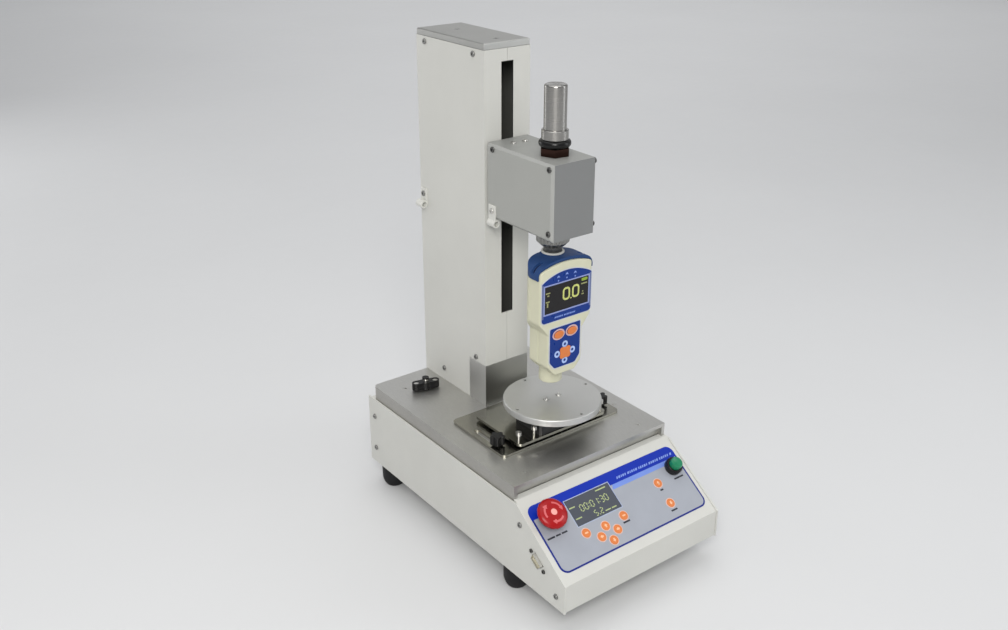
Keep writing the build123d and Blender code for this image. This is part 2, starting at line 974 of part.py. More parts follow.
def make_button_bodies():
    """Contact block and collar of the emergency stop, and the start button's bezel."""
    low = -shell_sheet - estop_barrel_depth
    half = estop_block_size / 2
    stop = rod(estop_collar_radius, label_thickness, estop_collar_top)
    stop += rod(estop_barrel_radius, low, label_thickness)
    stop += block((-half, half), (-half, half), (low - estop_block_depth, low))
    stop -= rod(
        estop_stem_radius + running_gap,
        low - estop_travel - seat_gap - estop_stem_root,
        estop_collar_top + 1,
    )
    bezel = rod(start_bezel_radius, label_thickness, label_thickness + start_bezel_height)
    bezel = chamfer(bezel.edges().group_by(Axis.Z)[-1], bezel_chamfer)
    bezel += rod(start_barrel_radius, -start_barrel_depth, label_thickness)
    floor = start_cap_low - start_travel - seat_gap
    bezel -= rod(start_cap_radius + seat_gap, floor, label_thickness + start_bezel_height + 1)
    stem_low = start_cap_low - start_stem_length - start_travel - seat_gap
    bezel -= rod(start_stem_radius + running_gap, stem_low, floor + 1)
    return group(on_panel(estop_x, estop_down, stop), on_panel(start_x, start_down, bezel))


estop_collar_top = label_thickness + estop_collar_height
estop_head_low = estop_collar_top + estop_travel + slide_gap
estop_bore_top = estop_head_top - estop_stem_cover
start_cap_low = label_thickness + start_travel + start_floor


def make_estop_stem():
    """Plunger of the emergency stop."""
    low = -shell_sheet - estop_barrel_depth - estop_stem_root
    return on_panel(estop_x, estop_down, rod(estop_stem_radius, low, estop_bore_top - seat_gap))


def make_estop_head():
    """Mushroom head that presses and twists."""
    neck = estop_head_radius - estop_rim_taper
    rim_low = estop_head_rim - estop_rim_height
    dome_x = (estop_head_radius + estop_crown_radius + estop_crown_bulge) / 2
    dome_z = (estop_head_rim + estop_head_top + estop_crown_bulge) / 2
    outline = [
        Line((0, estop_head_low), (neck, estop_head_low)),
        Line((neck, estop_head_low), (estop_head_radius, rim_low)),
        Line((estop_head_radius, rim_low), (estop_head_radius, estop_head_rim)),
        ThreePointArc(
            (estop_head_radius, estop_head_rim),
            (dome_x, dome_z),
            (estop_crown_radius, estop_head_top),
        ),
        Line((estop_crown_radius, estop_head_top), (0, estop_head_top)),
        Line((0, estop_head_top), (0, estop_head_low)),
    ]
    head = revolve(Plane.XZ * make_face(outline), Axis.Z)
    head -= rod(estop_stem_radius + running_gap, estop_head_low - 1, estop_bore_top)
    return on_panel(estop_x, estop_down, head)


def make_start_cap():
    """Green cap of the start button on its stem."""
    cap = rod(start_cap_radius, start_cap_low, start_cap_top)
    cap = fillet(cap.edges().group_by(Axis.Z)[-1], start_rounding)
    stem = rod(start_stem_radius, start_cap_low - start_stem_length, start_cap_low)
    return on_panel(start_x, start_down, cap + stem)


def serial_place(shape):
    """Moves a shape, made face up and lengthwise along X, to the left side plate."""
    place = Plane(
        origin=(-case_width / 2, serial_y, serial_z),
        x_dir=(0, -slope_cos, -slope_sin),
        z_dir=(-1, 0, 0),
    ).location
    return place * shape


def serial_outline(gap, low, high):
    """The D of the connector's shell."""
    half = serial_length / 2 + gap
    top = serial_width / 2 + gap
    short = half - serial_slant
    points = [(-half, top), (half, top), (short, -top), (-short, -top)]
    return extrude(Pos(0, 0, low) * make_face(Polyline(*points, close=True)), high - low, dir=(0, 0, 1))


def serial_opening():
    """Cut-out in the side plate for the connector and its two jack screws."""
    cut = serial_outline(slide_gap, -side_sheet - 1, 1)
    for sign in (-1, 1):
        hole = rod(jack_shank_radius + touch_gap, -side_sheet - 1, 1)
        cut += Pos(sign * serial_screw_pitch / 2, 0, 0) * hole
    return cut


def make_serial_connector():
    """Nine-way connector behind the side plate, with its two jack screws outside."""
    back = -side_sheet
    half = serial_flange_length / 2
    rise = serial_flange_width / 2
    half_body = serial_length / 2
    half_width = serial_width / 2
    body = block((-half, half), (-rise, rise), (back - serial_flange, back))
    body += serial_outline(0, back, serial_proud)
    body += block((-half_body, half_body), (-half_width, half_width), (back - serial_body_depth, back))
    for row, count in ((0.5, 5), (-0.5, 4)):
        for place in range(count):
            x = (place - (count - 1) / 2) * serial_pin_pitch
            hole = rod(serial_pin_radius, serial_proud - serial_pin_depth, serial_proud + 1)
            body -= Pos(x, row * serial_pin_pitch, 0) * hole
    pieces = [body]
    for sign in (-1, 1):
        x = sign * serial_screw_pitch / 2
        jack = extrude(RegularPolygon(jack_radius, 6), jack_height, dir=(0, 0, 1))
        jack += rod(jack_shank_radius, back, 0)
        jack -= rod(jack_bore_radius, jack_height - jack_bore_depth, jack_height + 1)
        pieces.append(Pos(x, 0, 0) * jack)
    return serial_place(group(*pieces))


def inlet_box(x0, x1, depth0, depth1, z0, z1):
    """A box in the inlet's frame; depth is measured inwards from the outer face of its flange."""
    outer = rear_face + inlet_flange
    return block((inlet_x + x0, inlet_x + x1), (outer - depth1, outer - depth0), (inlet_z + z0, inlet_z + z1))


rocker_axis_y = rear_face + inlet_flange - rocker_depth
rocker_pin_reach = rocker_width / 2 + rocker_gap + rocker_pin_grip


def make_mains_inlet():
    """Mains inlet and switch housing in one body, with three pins in the socket."""
    half_flange = inlet_flange_width / 2
    half_body = inlet_body_width / 2
    rise = inlet_body_height / 2
    flange_rise = inlet_flange_height / 2
    housing = inlet_box(-half_flange, half_flange, 0, inlet_flange, -flange_rise, flange_rise)
    housing += inlet_box(-half_body, half_body, inlet_flange, inlet_depth, -rise, rise)
    left = socket_offset - socket_width / 2
    right = socket_offset + socket_width / 2
    housing -= inlet_box(left, right, -1, socket_depth, -socket_height / 2, socket_height / 2)
    side = rocker_width / 2 + rocker_gap / 2
    tall = rocker_height / 2 + rocker_gap
    housing -= inlet_box(rocker_offset - side, rocker_offset + side, -1, 2 * rocker_depth, -tall, tall)
    housing -= rod_x(
        rocker_pin_radius + running_gap,
        inlet_x + rocker_offset - rocker_pin_reach - touch_gap,
        inlet_x + rocker_offset + rocker_pin_reach + touch_gap,
        rocker_axis_y,
        inlet_z,
    )
    pins = []
    for x, z in ((0, earth_pin_z), (-pin_pitch, line_pin_z), (pin_pitch, line_pin_z)):
        middle = socket_offset + x
        pins.append(
            inlet_box(
                middle - pin_width / 2,
                middle + pin_width / 2,
                socket_depth - pin_length,
                socket_depth,
                z - pin_height / 2,
                z + pin_height / 2,
            )
        )
    return group(housing, *pins)


def make_rocker():
    """Switch rocker on its pin, resting in the off position."""
    half = rocker_height / 2 - rocker_gap
    face = rocker_depth - rocker_sink
    tail = -rocker_tail
    points = [(tail, -half / 2), (face, -half), (face - rocker_dip, 0), (face, half), (tail, half / 2)]
    reach = rocker_width / 2
    rocker = prism_x(points, -reach, reach)
    pin = rod_x(rocker_pin_radius, -rocker_pin_reach, rocker_pin_reach, 0, 0)
    tilted = Rot(-rocker_tilt, 0, 0) * (rocker + pin)
    return Pos(inlet_x + rocker_offset, rocker_axis_y, inlet_z) * tilted


def make_column_frame():
    """Bare foot block, spine with its foot, and the top block."""
    foot_rear = column_front_y + foot_block_depth
    foot_top = plate_top + foot_block_height
    foot = block((-column_half, column_half), (column_front_y, foot_rear), (plate_top, foot_top))
    foot += block(
        (-column_inner, column_inner),
        (column_front_y + cover_sheet + seat_gap, foot_rear),
        (foot_top, foot_top + foot_block_riser),
    )
    spine = block(
        (-column_inner, column_inner),
        (spine_y, spine_y + spine_thickness),
        (plate_top, top_block_bottom),
    )
    spine += block(
        (-column_inner, column_inner),
        (spine_y - spine_foot_depth, spine_y + spine_thickness),
        (plate_top, plate_top + spine_foot_height),
    )
    top = block(
        (-column_inner, column_inner),
        (column_front_y + cover_sheet + seat_gap, column_rear_y - cover_sheet - seat_gap),
        (top_block_bottom, cap_bottom),
    )
    top -= rod(bearing_radius + running_gap, top_block_bottom - 1, cap_bottom + 1, 0, screw_y)
    holes = list(column_side_spots(screw_hole))
    for spot in cap_spots():
        top -= spot * flush_hole()
    for x, y in column_floor_spots():
        hole = Pos(x, y, plate_bottom) * Rot(180, 0, 0) * screw_hole(plate_thickness + 2)
        foot -= hole
        spine -= hole
    return group(foot - holes, spine - holes, top - holes)


def make_column_covers():
    """Left and right sheet covers, which meet in a seam and leave the slot open in front."""
    covers = []
    low = plate_top + touch_gap
    holes = [*column_side_spots(screw_hole), column_clip_screw(screw_hole)]
    foot_top = plate_top + foot_block_height + touch_gap
    for sign in (-1, 1):
        def across(a, b, sign=sign):
            return sorted((sign * a, sign * b))

        outer = block(across(seam_gap / 2, column_half), (column_front_y, column_rear_y), (low, cap_bottom))
        hollow = block(
            across(-1, column_half - cover_sheet),
            (column_front_y + cover_sheet, column_rear_y - cover_sheet),
            (low - 1, cap_bottom + 1),
        )
        slot = block(
            across(-1, slot_width / 2),
            (column_front_y - 1, column_front_y + cover_sheet + 1),
            (plate_top + slot_low, plate_top + slot_high),
        )
        foot = block(
            across(-1, column_half + 1),
            (column_front_y - 1, column_front_y + foot_block_depth + touch_gap),
            (low - 1, foot_top),
        )
        covers.append(outer - hollow - slot - foot - holes)
    return group(*covers)


def make_column_cap():
    """Cap plate, a little smaller than the covers, with chamfered top edges."""
    half = column_half - cap_inset
    cap = block(
        (-half, half),
        (column_front_y + cap_inset, column_rear_y - cap_inset),
        (cap_bottom, column_top),
    )
    cap = chamfer(cap.faces().sort_by(Axis.Z)[-1].edges(), cap_chamfer)
    for spot in cap_spots():
        cap -= spot * flush_hole()
    return cap


def make_lift_guides():
    """Rail on the spine, and the lead screw's two bearings."""
    rail_top = top_block_bottom - slide_gap
    rail = block(
        (-rail_width / 2, rail_width / 2),
        (spine_y - rail_height, spine_y),
        (plate_top + rail_low, rail_top),
    )
    inner = lead_screw_radius + running_gap
    lower_top = plate_top - bearing_inset
    lower = tube(bearing_radius, inner, lower_top - bearing_height, lower_top, 0, screw_y)
    upper_low = top_block_bottom + bearing_inset
    upper = tube(bearing_radius, inner, upper_low, upper_low + bearing_height, 0, screw_y)
    return group(rail, lower, upper)


motor_top = plate_bottom - motor_gap
coupling_low = motor_top + coupling_gap
coupling_top = coupling_low + coupling_length
coupling_step = motor_top + motor_shaft_length


def make_lift_motor():
    """Stepper motor hung on posts under the base plate."""
    half = motor_size / 2
    body = block((-half, half), (screw_y - half, screw_y + half), (motor_top - motor_length, motor_top))
    body = chamfer(body.edges().filter_by(Axis.Z), motor_chamfer)
    bore = rod(motor_shaft_radius + running_gap, motor_top - motor_shaft_seat - 1, motor_top + 1, 0, screw_y)
    return body - bore


def make_lead_screw():
    """Lead screw, shaft coupling and motor shaft, which turn together."""
    screw_low = coupling_step + coupling_gap
    screw_high = top_block_bottom + bearing_inset + bearing_height
    screw = rod(lead_screw_radius, screw_low, screw_high, 0, screw_y)
    coupling = rod(coupling_radius, coupling_low, coupling_top, 0, screw_y)
    coupling -= rod(motor_shaft_radius, coupling_low - 1, coupling_step, 0, screw_y)
    coupling -= rod(lead_screw_radius, coupling_step, coupling_top + 1, 0, screw_y)
    shaft = rod(motor_shaft_radius, motor_top - motor_shaft_seat, coupling_step, 0, screw_y)
    return group(screw, coupling, shaft)


def make_lift_carriage():
    """Neck with the nut block, rail carriage and nut."""
    neck_low = arm_bottom + neck_inset
    neck_top = arm_top - neck_inset
    half = neck_width / 2
    carriage_front = spine_y - carriage_reach
    neck = block((-half, half), (arm_rear_y, nut_block_front_y), (neck_low, neck_top))
    nut_low = arm_bottom + neck_inset + nut_block_inset
    wide = nut_block_width / 2
    neck += block((-wide, wide), (nut_block_front_y, carriage_front), (nut_low, neck_top))
    neck -= rod(nut_radius + touch_gap, nut_low - 1, neck_top + 1, 0, screw_y)
    slide = block(
        (-carriage_width / 2, carriage_width / 2),
        (carriage_front, spine_y - carriage_rear_gap),
        (arm_mid - carriage_height / 2, arm_mid + carriage_height / 2),
    )
    slide -= block(
        (-rail_width / 2 - touch_gap, rail_width / 2 + touch_gap),
        (spine_y - rail_height - touch_gap, spine_y),
        (neck_low - carriage_height, neck_top + carriage_height),
    )
    nut = rod(nut_flange_radius, nut_low - nut_flange_height, nut_low, 0, screw_y)
    nut += rod(nut_radius, nut_low, neck_top, 0, screw_y)
    nut -= rod(lead_screw_radius + running_gap, nut_low - nut_flange_height - 1, neck_top + 1, 0, screw_y)
    return group(neck, slide, nut)


def arm_side_spots(make):
    """Puts what a function makes at the four screws of each arm cover."""
    ys = (arm_front_y + arm_screw_front, arm_rear_y - arm_screw_rear)
    zs = (arm_bottom + arm_screw_low, arm_top - arm_screw_high)
    for sign in (-1, 1):
        for y in ys:
            for z in zs:
                under_head = clip_wall if (sign, y, z) == (-1, ys[1], zs[0]) else 0
                seat = sign * (arm_width / 2 + under_head)
                yield Pos(seat, y, z) * Rot(0, 90 * sign, 0) * make()


def arm_top_spots(make):
    for sign in (-1, 1):
        yield Pos(sign * arm_top_screw_x, arm_top_screw_y, arm_top) * make()


def short_screw():
    return button_screw(arm_screw_depth)


def short_hole():
    return screw_hole(arm_screw_depth)


def make_arm_frame():
    """Arm body, open at both sides, with corner bosses and the spindle housing."""
    half = arm_width / 2 - arm_cover
    frame = block((-half, half), (arm_front_y, arm_rear_y), (arm_bottom, arm_top))
    frame -= block(
        (-half - 1, half + 1),
        (arm_front_y + arm_wall, arm_rear_y - arm_wall),
        (arm_bottom + arm_wall, arm_top - arm_wall),
    )
    for y0, y1 in ((arm_front_y, arm_front_y + arm_boss), (arm_rear_y - arm_boss, arm_rear_y)):
        for z0, z1 in ((arm_bottom, arm_bottom + arm_boss), (arm_top - arm_boss, arm_top)):
            frame += block((-half, half), (y0, y1), (z0, z1))
    frame += rod(housing_radius, arm_bottom, arm_top, 0, spindle_y)
    frame -= rod(bush_radius + touch_gap, arm_bottom - 1, arm_top + 1, 0, spindle_y)
    frame -= list(arm_side_spots(screw_hole))
    frame -= list(arm_top_spots(short_hole))
    return frame


def make_arm_covers():
    """Left and right side covers of the arm, with chamfered outer edges."""
    covers = []
    holes = list(arm_side_spots(screw_hole))
    for sign in (-1, 1):
        across = sorted((sign * arm_width / 2, sign * (arm_width / 2 - arm_cover)))
        cover = block(across, (arm_front_y, arm_rear_y), (arm_bottom, arm_top))
        outer_face = cover.faces().sort_by(Axis.X)[0 if sign < 0 else -1]
        cover = chamfer(outer_face.edges(), arm_chamfer)
        covers.append(cover - holes)
    return group(*covers)


def make_arm_screws():
    screws = list(arm_side_spots(button_screw))
    return group(*screws, *arm_top_spots(short_screw))


def make_spindle_bushes():
    """Upper bush with a hexagonal flange, and plain lower bush in the arm."""
    bore = spindle_radius + running_gap
    upper = tube(bush_radius, bore, arm_top - bush_length, arm_top, 0, spindle_y)
    hexagon = RegularPolygon(bush_flange_width / 2, 6, major_radius=False, rotation=bush_flange_turn)
    flange = extrude(hexagon, bush_flange_height, dir=(0, 0, 1))
    upper += Pos(0, spindle_y, arm_top) * flange - rod(bore, arm_top - 1, bush_top + 1, 0, spindle_y)
    lower = tube(bush_radius, bore, arm_bottom, arm_bottom + bush_length, 0, spindle_y)
    return group(upper, lower)


spindle_low = duro_top - stud_depth
spindle_high = weight_top - weight_cover


def make_spindle():
    """Spindle with the black neck ring above the washer."""
    shaft = rod(spindle_radius, spindle_low, spindle_high, 0, spindle_y)
    return shaft + rod(neck_ring_radius, neck_ring_low, neck_ring_low + neck_ring_height, 0, spindle_y)


def make_bumper_ring():
    """Rubber ring that rests on the upper bush."""
    ring = tube(bumper_radius, spindle_radius, bumper_low, collar_low, 0, spindle_y)
    outer = ring.edges().filter_by(GeomType.CIRCLE).sort_by(SortBy.RADIUS)[-2:]
    return fillet(outer, bumper_rounding)


def make_load_weight():
    """Steel collar and the load weight above it."""
    collar = tube(collar_radius, spindle_radius, collar_low, weight_low, 0, spindle_y)
    rims = collar.edges().filter_by(GeomType.CIRCLE).sort_by(SortBy.RADIUS)[-2:]
    collar = chamfer(rims, collar_chamfer)
    weight = rod(weight_radius, weight_low, weight_top, 0, spindle_y)
    weight = fillet(weight.edges().group_by(Axis.Z)[-1], weight_rounding)
    weight -= rod(spindle_radius, weight_low - 1, spindle_high, 0, spindle_y)
    return group(collar, weight)


def make_lock_nut():
    """Round lock nut with grip notches, turned by hand on the spindle."""
    nut = tube(lock_nut_radius, spindle_radius + running_gap, lock_nut_low, lock_nut_top, 0, spindle_y)
    for pick, length in ((0, lock_nut_cone), (-1, lock_nut_chamfer)):
        rims = nut.edges().filter_by(GeomType.CIRCLE).sort_by(SortBy.RADIUS)[-2:]
        nut = chamfer(rims.sort_by(Axis.Z)[pick], length)
    reach = lock_nut_radius + grip_notch_radius - grip_notch_depth
    for place in range(grip_notches):
        angle = 2 * pi * place / grip_notches
        x = reach * cos(angle)
        y = spindle_y + reach * sin(angle)
        nut -= rod(grip_notch_radius, lock_nut_low - 1, lock_nut_top + 1, x, y)
    return nut


def make_washer():
    return tube(washer_radius, spindle_radius, washer_low, neck_ring_low, 0, spindle_y)


def below(drop):
    """A height on the durometer, measured down from its crown."""
    return duro_top - drop


def upright(face, y0, y1):
    """A face drawn in X and Z, drawn out along Y."""
    return extrude(Plane.XZ.offset(-y0) * face, y1 - y0, dir=(0, 1, 0))


def plan(half, back_radius, low, high):
    """The durometer's plan outline at one width, drawn upwards."""
    front = duro_front
    back = duro_back
    r = duro_front_radius
    b = back_radius
    lines = [
        Line((-half + r, front), (half - r, front)),
        JernArc((half - r, front), (1, 0), r, 90),
        Line((half, front + r), (half, back - b)),
        JernArc((half, back - b), (0, 1), b, 90),
        Line((half - b, back), (-half + b, back)),
        JernArc((-half + b, back), (-1, 0), b, 90),
        Line((-half, back - b), (-half, front + r)),
        JernArc((-half, front + r), (0, -1), r, 90),
    ]
    return Pos(0, 0, low) * extrude(make_face(lines), high - low, dir=(0, 0, 1))


def arch_face(half, low, side, top, corner):
    """A face with straight sides, rounded shoulders and an arched top."""
    lines = [
        Line((-half, low), (half, low)),
        Line((half, low), (half, side)),
        ThreePointArc((half, side), (0, top), (-half, side)),
        Line((-half, side), (-half, low)),
    ]
    face = make_face(lines)
    shoulders = face.vertices().filter_by_position(Axis.Y, side - 0.1, side + 0.1)
    return fillet(shoulders, corner)


def durometer_body():
    """Outer form of the two shells: wide head, tapering waist, narrow grip with a cut chin."""
    head_points = [
        (-duro_top_half_width, below(duro_cap_line)),
        (-duro_top_half_width, below(duro_waist_top)),
        (-duro_low_half_width, below(duro_waist_low)),
        (duro_low_half_width, below(duro_waist_low)),
        (duro_top_half_width, below(duro_waist_top)),
        (duro_top_half_width, below(duro_cap_line)),
    ]
    head = upright(make_face(Polyline(*head_points, close=True)), duro_front, duro_back)
    head &= plan(duro_top_half_width, duro_top_back_radius, duro_low, duro_top)
    grip_points = [
        (-duro_low_half_width, below(duro_waist_top)),
        (-duro_low_half_width, below(duro_chin)),
        (-duro_chin_half_width, duro_low),
        (duro_chin_half_width, duro_low),
        (duro_low_half_width, below(duro_chin)),
        (duro_low_half_width, below(duro_waist_top)),
    ]
    grip = upright(make_face(Polyline(*grip_points, close=True)), duro_front, duro_back)
    grip &= plan(duro_low_half_width, duro_low_back_radius, duro_low - 1, duro_top)
    return head + grip


def front_arch():
    """The front shell's arched rim, which stands in front of the cap."""
    face = arch_face(
        duro_top_half_width,
        below(duro_cap_line),
        below(duro_arch_side),
        below(duro_arch_top),
        duro_arch_corner,
    )
    arch = upright(face, duro_front, duro_front + duro_arch_depth)
    return arch & plan(duro_top_half_width, duro_top_back_radius, duro_low, duro_top)


def cap_solid():
    """Top cap: wider than the shells, with rounded shoulders."""
    half = duro_top_half_width + cap_overhang
    face = arch_face(half, below(duro_cap_line), below(cap_shoulder), duro_top, cap_corner)
    cap = upright(face, duro_front, duro_back)
    cap &= plan(half, cap_back_radius, duro_low, duro_top + 1)
    wide = duro_top_half_width + 2 * cap_overhang
    rim = (duro_front - 1, duro_front + duro_arch_depth)
    cut = arch_face(
        duro_top_half_width,
        below(duro_cap_line) - 1,
        below(duro_arch_side),
        below(duro_arch_top),
        duro_arch_corner,
    )
    cap -= upright(cut, *rim)
    return cap - block((-wide, wide), (duro_front - 1, duro_front + cap_overhang), (duro_low, duro_top + 1))


def durometer_hollow():
    """Space inside the two shells."""
    wall = duro_wall
    y = (duro_front + wall, duro_back - wall)
    head = block(
        (-head_hollow_half, head_hollow_half),
        y,
        (below(duro_waist_top), below(duro_cap_line + wall)),
    )
    grip = (below(duro_chin), below(duro_waist_top) + 1)
    return head + block((-grip_hollow_half, grip_hollow_half), y, grip)


def duro_key_spots():
    """Place and outline of each key on the gauge."""
    half = oval_pitch / 2
    return {
        "durometer_key_left": (keypad_shift - half, below(oval_drop), oval_length / 2, oval_height / 2),
        "durometer_key_right": (keypad_shift + half, below(oval_drop), oval_length / 2, oval_height / 2),
        "durometer_round_key": (keypad_shift, below(round_key_drop), round_key_radius, round_key_radius),
    }


def oval(x, z, a, b, y0, y1):
    """An oval or round disc facing front."""
    face = Pos(x, z) * (Ellipse(a, b) if a > b else Circle(a))
    return extrude(Plane.XZ.offset(-y0) * face, y1 - y0, dir=(0, 1, 0))


def make_durometer():
    """Front shell, rear shell and top cap of the gauge."""
    whole = durometer_body()
    hollow = durometer_hollow()
    nose_hole = rod(nose_radius - nose_step + touch_gap, duro_low - 1, below(duro_chin) + 1, 0, spindle_y)
    shells = whole - hollow - nose_hole
    window = screen_box(touch_gap, duro_front - 1, duro_front + duro_wall + 1)
    shells -= window
    for x, z, *_ in duro_key_spots().values():
        shells -= rod_y(duro_key_stem + slide_gap, duro_front - 1, duro_front + duro_wall + 1, x, z)
    wide = duro_top_half_width + 5
    halves = (duro_low - 5, duro_top + 5)
    front = shells & block((-wide, wide), (duro_front - 5, duro_split), halves)
    front += front_arch()
    rear = shells & block((-wide, wide), (duro_split, duro_back + 5), halves)
    cap = cap_solid()
    cap += rod(washer_radius, duro_top - 5, washer_low, 0, spindle_y)
    cap -= rod(spindle_radius, spindle_low, washer_low + 1, 0, spindle_y)
    return front, rear, cap


def screen_box(gap, y0, y1):
    half = screen_width / 2 + gap
    return block((-half, half), (y0, y1), (below(screen_bottom) - gap, below(screen_top) + gap))


def make_durometer_labels():
    """Blue faceplate with the screen opening, and the blue keypad sheet."""
    y0 = duro_front - face_sheet
    face = arch_face(face_half_width, below(face_bottom), below(face_side), below(face_top), face_corner)
    plate = upright(face, y0, duro_front)
    plate -= screen_box(touch_gap, y0 - 1, duro_front + 1)
    corner = keypad_corner
    left = keypad_shift - keypad_half_width
    right = keypad_shift + keypad_half_width
    points = [
        (left, below(keypad_top)),
        (left, below(keypad_bottom) + corner),
        (left + corner, below(keypad_bottom)),
        (right - corner, below(keypad_bottom)),
        (right, below(keypad_bottom) + corner),
        (right, below(keypad_top)),
    ]
    pad = upright(make_face(Polyline(*points, close=True)), y0, duro_front)
    for x, z, a, b in duro_key_spots().values():
        pad -= oval(x, z, a + slide_gap, b + slide_gap, y0 - 1, duro_front + 1)
    return group(plate, pad)


def make_durometer_display():
    """Screen glass, display module, circuit board and the battery behind the board."""
    glass_back = duro_front + duro_wall
    board_front = spindle_y - duro_board_reach
    board_back = board_front + duro_board_thickness
    glass = screen_box(0, duro_front - face_sheet, glass_back)
    wide = head_hollow_half - seat_gap
    module = block((-wide, wide), (glass_back, board_front), (below(screen_bottom), below(screen_top)))
    half = grip_hollow_half - seat_gap
    board_low = below(round_key_drop + round_key_radius)
    board = block((-half, half), (board_front, board_back), (board_low, below(screen_top)))
    cell = block(
        (-battery_width / 2, battery_width / 2),
        (board_back, duro_back - duro_wall - seat_gap),
        (below(screen_bottom), below(screen_top)),
    )
    return group(glass, module, board, cell)


def make_duro_key(x, z, a, b):
    """Key on the gauge: a low disc on a stem that reaches the circuit board's switch."""
    back = duro_front - duro_key_lift
    cap = oval(x, z, a, b, back - duro_key_thickness, back)
    stem_end = spindle_y - duro_board_reach - duro_key_travel - seat_gap
    return cap + rod_y(duro_key_stem, back, stem_end, x, z)


def make_nose():
    """Nose of the gauge and the steel presser foot in its end."""
    guide_top = duro_low + nose_root
    guide_low = guide_top - indenter_guide
    nose = rod(nose_radius, nose_low, duro_low, 0, spindle_y)
    nose += rod(nose_radius - nose_step, duro_low, guide_top, 0, spindle_y)
    nose -= rod(presser_radius, nose_low - 1, nose_low + presser_thickness, 0, spindle_y)
    nose -= rod(nose_bore, nose_low, guide_low, 0, spindle_y)
    nose -= rod(indenter_radius + running_gap, guide_low - 1, guide_top + 1, 0, spindle_y)
    presser = tube(
        presser_radius,
        indenter_tip_radius + touch_gap,
        nose_low,
        nose_low + presser_thickness,
        0,
        spindle_y,
    )
    return group(nose, presser)


def make_indenter():
    """Indenter with its thin tip, flange and guided shank."""
    root = nose_low + presser_thickness + seat_gap
    tip = rod(indenter_tip_radius, indenter_low, root, 0, spindle_y)
    shank = rod(indenter_radius, root, duro_low + nose_root + indenter_tail, 0, spindle_y)
    flange = rod(indenter_flange_radius, flange_top - indenter_flange, flange_top, 0, spindle_y)
    return tip + shank + flange


flange_top = nose_low + presser_thickness + seat_gap + indenter_flange_lift + indenter_flange


def make_indenter_spring():
    """Compression spring between the indenter's flange and the nose's guide."""
    low = flange_top + spring_wire + touch_gap
    height = duro_low + nose_root - indenter_guide - spring_wire - touch_gap - low
    coil = Helix(pitch=height / spring_turns, height=height, radius=spring_radius)
    wire = sweep(Plane(origin=coil @ 0, z_dir=coil % 0) * Circle(spring_wire), path=coil, is_frenet=True)
    return Pos(0, spindle_y, low) * wire


def make_stage_plates():
    """Lower plate with two slots for the clamp knobs, and the upper plate above it."""
    lower = rounded_plate(
        (-stage_half_width, stage_half_width),
        (stage_front_y, stage_rear_y),
        (stage_low, stage_top),
        stage_corner,
    )
    slot_front = knob_y - knob_stud_radius - slide_gap
    slot_rear = knob_y + stage_travel + knob_stud_radius + slide_gap
    radius = knob_stud_radius + slide_gap
    middles = (slot_front + radius, slot_rear - radius)
    for x in (-slot_x, slot_x):
        lower -= block((x - radius, x + radius), middles, (stage_low - 1, stage_top + 1))
        for y in middles:
            lower -= rod(radius, stage_low - 1, stage_top + 1, x, y)
    upper = rounded_plate(
        (-upper_half_width, upper_half_width),
        (upper_front_y, upper_rear_y),
        (upper_low, upper_top),
        stage_corner,
    )
    for x, y in standing_spots():
        upper -= rod(standing_shank_radius, upper_low - 1, upper_top + 1, x, y)
    return group(lower, upper)


def standing_spots():
    return [(sign * x, standing_y) for sign in (-1, 1) for x in (standing_outer_x, standing_inner_x)]


def make_stage_screws():
    """Spacers between the plates and the screws that stand on the upper plate."""
    pieces = []
    for x in (-spacer_x, spacer_x):
        for y in (spacer_front_y, spacer_rear_y):
            pieces.append(rod(spacer_radius, stage_top, upper_low, x, y))
    head_low = upper_top + standing_height - standing_head_height
    for x, y in standing_spots():
        shank = rod(standing_shank_radius, upper_low, head_low, x, y)
        head = rod(standing_head_radius, head_low, head_low + standing_head_height, x, y)
        socket = Pos(x, y) * hex_socket(head_low + standing_head_height)
        pieces.append(shank + head - socket)
    return group(*pieces)


motor_block_top = upper_top + table_motor_height
hub_low = table_low - hub_height


def make_table_motor():
    """Flat motor on the upper plate."""
    body = block(
        (-table_motor_half_width, table_motor_half_width),
        (table_y - table_motor_front, table_y + table_motor_rear),
        (upper_top, motor_block_top),
    )
    body = chamfer(body.edges().filter_by(Axis.Z), table_motor_chamfer)
    return body - rod(table_shaft_radius + running_gap, table_shaft_low - 1, motor_block_top + 1, 0, table_y)


table_shaft_low = hub_low - table_shaft_length


def make_round_table():
    """Round table with rim holes, its hub with the shaft, and the two screws that join them."""
    disc = rod(table_radius, table_low, table_top, 0, table_y)
    disc = chamfer(disc.edges().filter_by(GeomType.CIRCLE), table_chamfer)
    for quarter in range(4):
        angle = quarter * pi / 2
        x = table_hole_circle * cos(angle)
        y = table_y + table_hole_circle * sin(angle)
        disc -= rod(table_hole_radius, table_low - 1, table_top + 1, x, y)
    hub = rod(hub_radius, hub_low, table_low, 0, table_y)
    hub += rod(table_shaft_radius, table_shaft_low, hub_low, 0, table_y)
    screws = []
    seat = table_top + table_screw_proud - standing_head_height
    for x in (-table_screw_x, table_screw_x):
        shank = rod(standing_shank_radius, hub_low + hex_depth, seat, x, table_y)
        disc -= rod(table_screw_radius + touch_gap, seat, table_top + 1, x, table_y)
        disc -= shank
        hub -= shank
        head = rod(table_screw_radius, seat, seat + standing_head_height, x, table_y)
        socket = Pos(x, table_y) * hex_socket(seat + standing_head_height)
        screws.append(head + shank - socket)
    return group(disc, hub, *screws)


def lobed(x, y, low, high, hub, reach, lobe, count):
    """A knob head with rounded lobes."""
    head = rod(hub, low, high, x, y)
    for place in range(count):
        angle = 2 * pi * place / count + radians(90)
        head += rod(lobe, low, high, x + reach * cos(angle), y + reach * sin(angle))
    return head


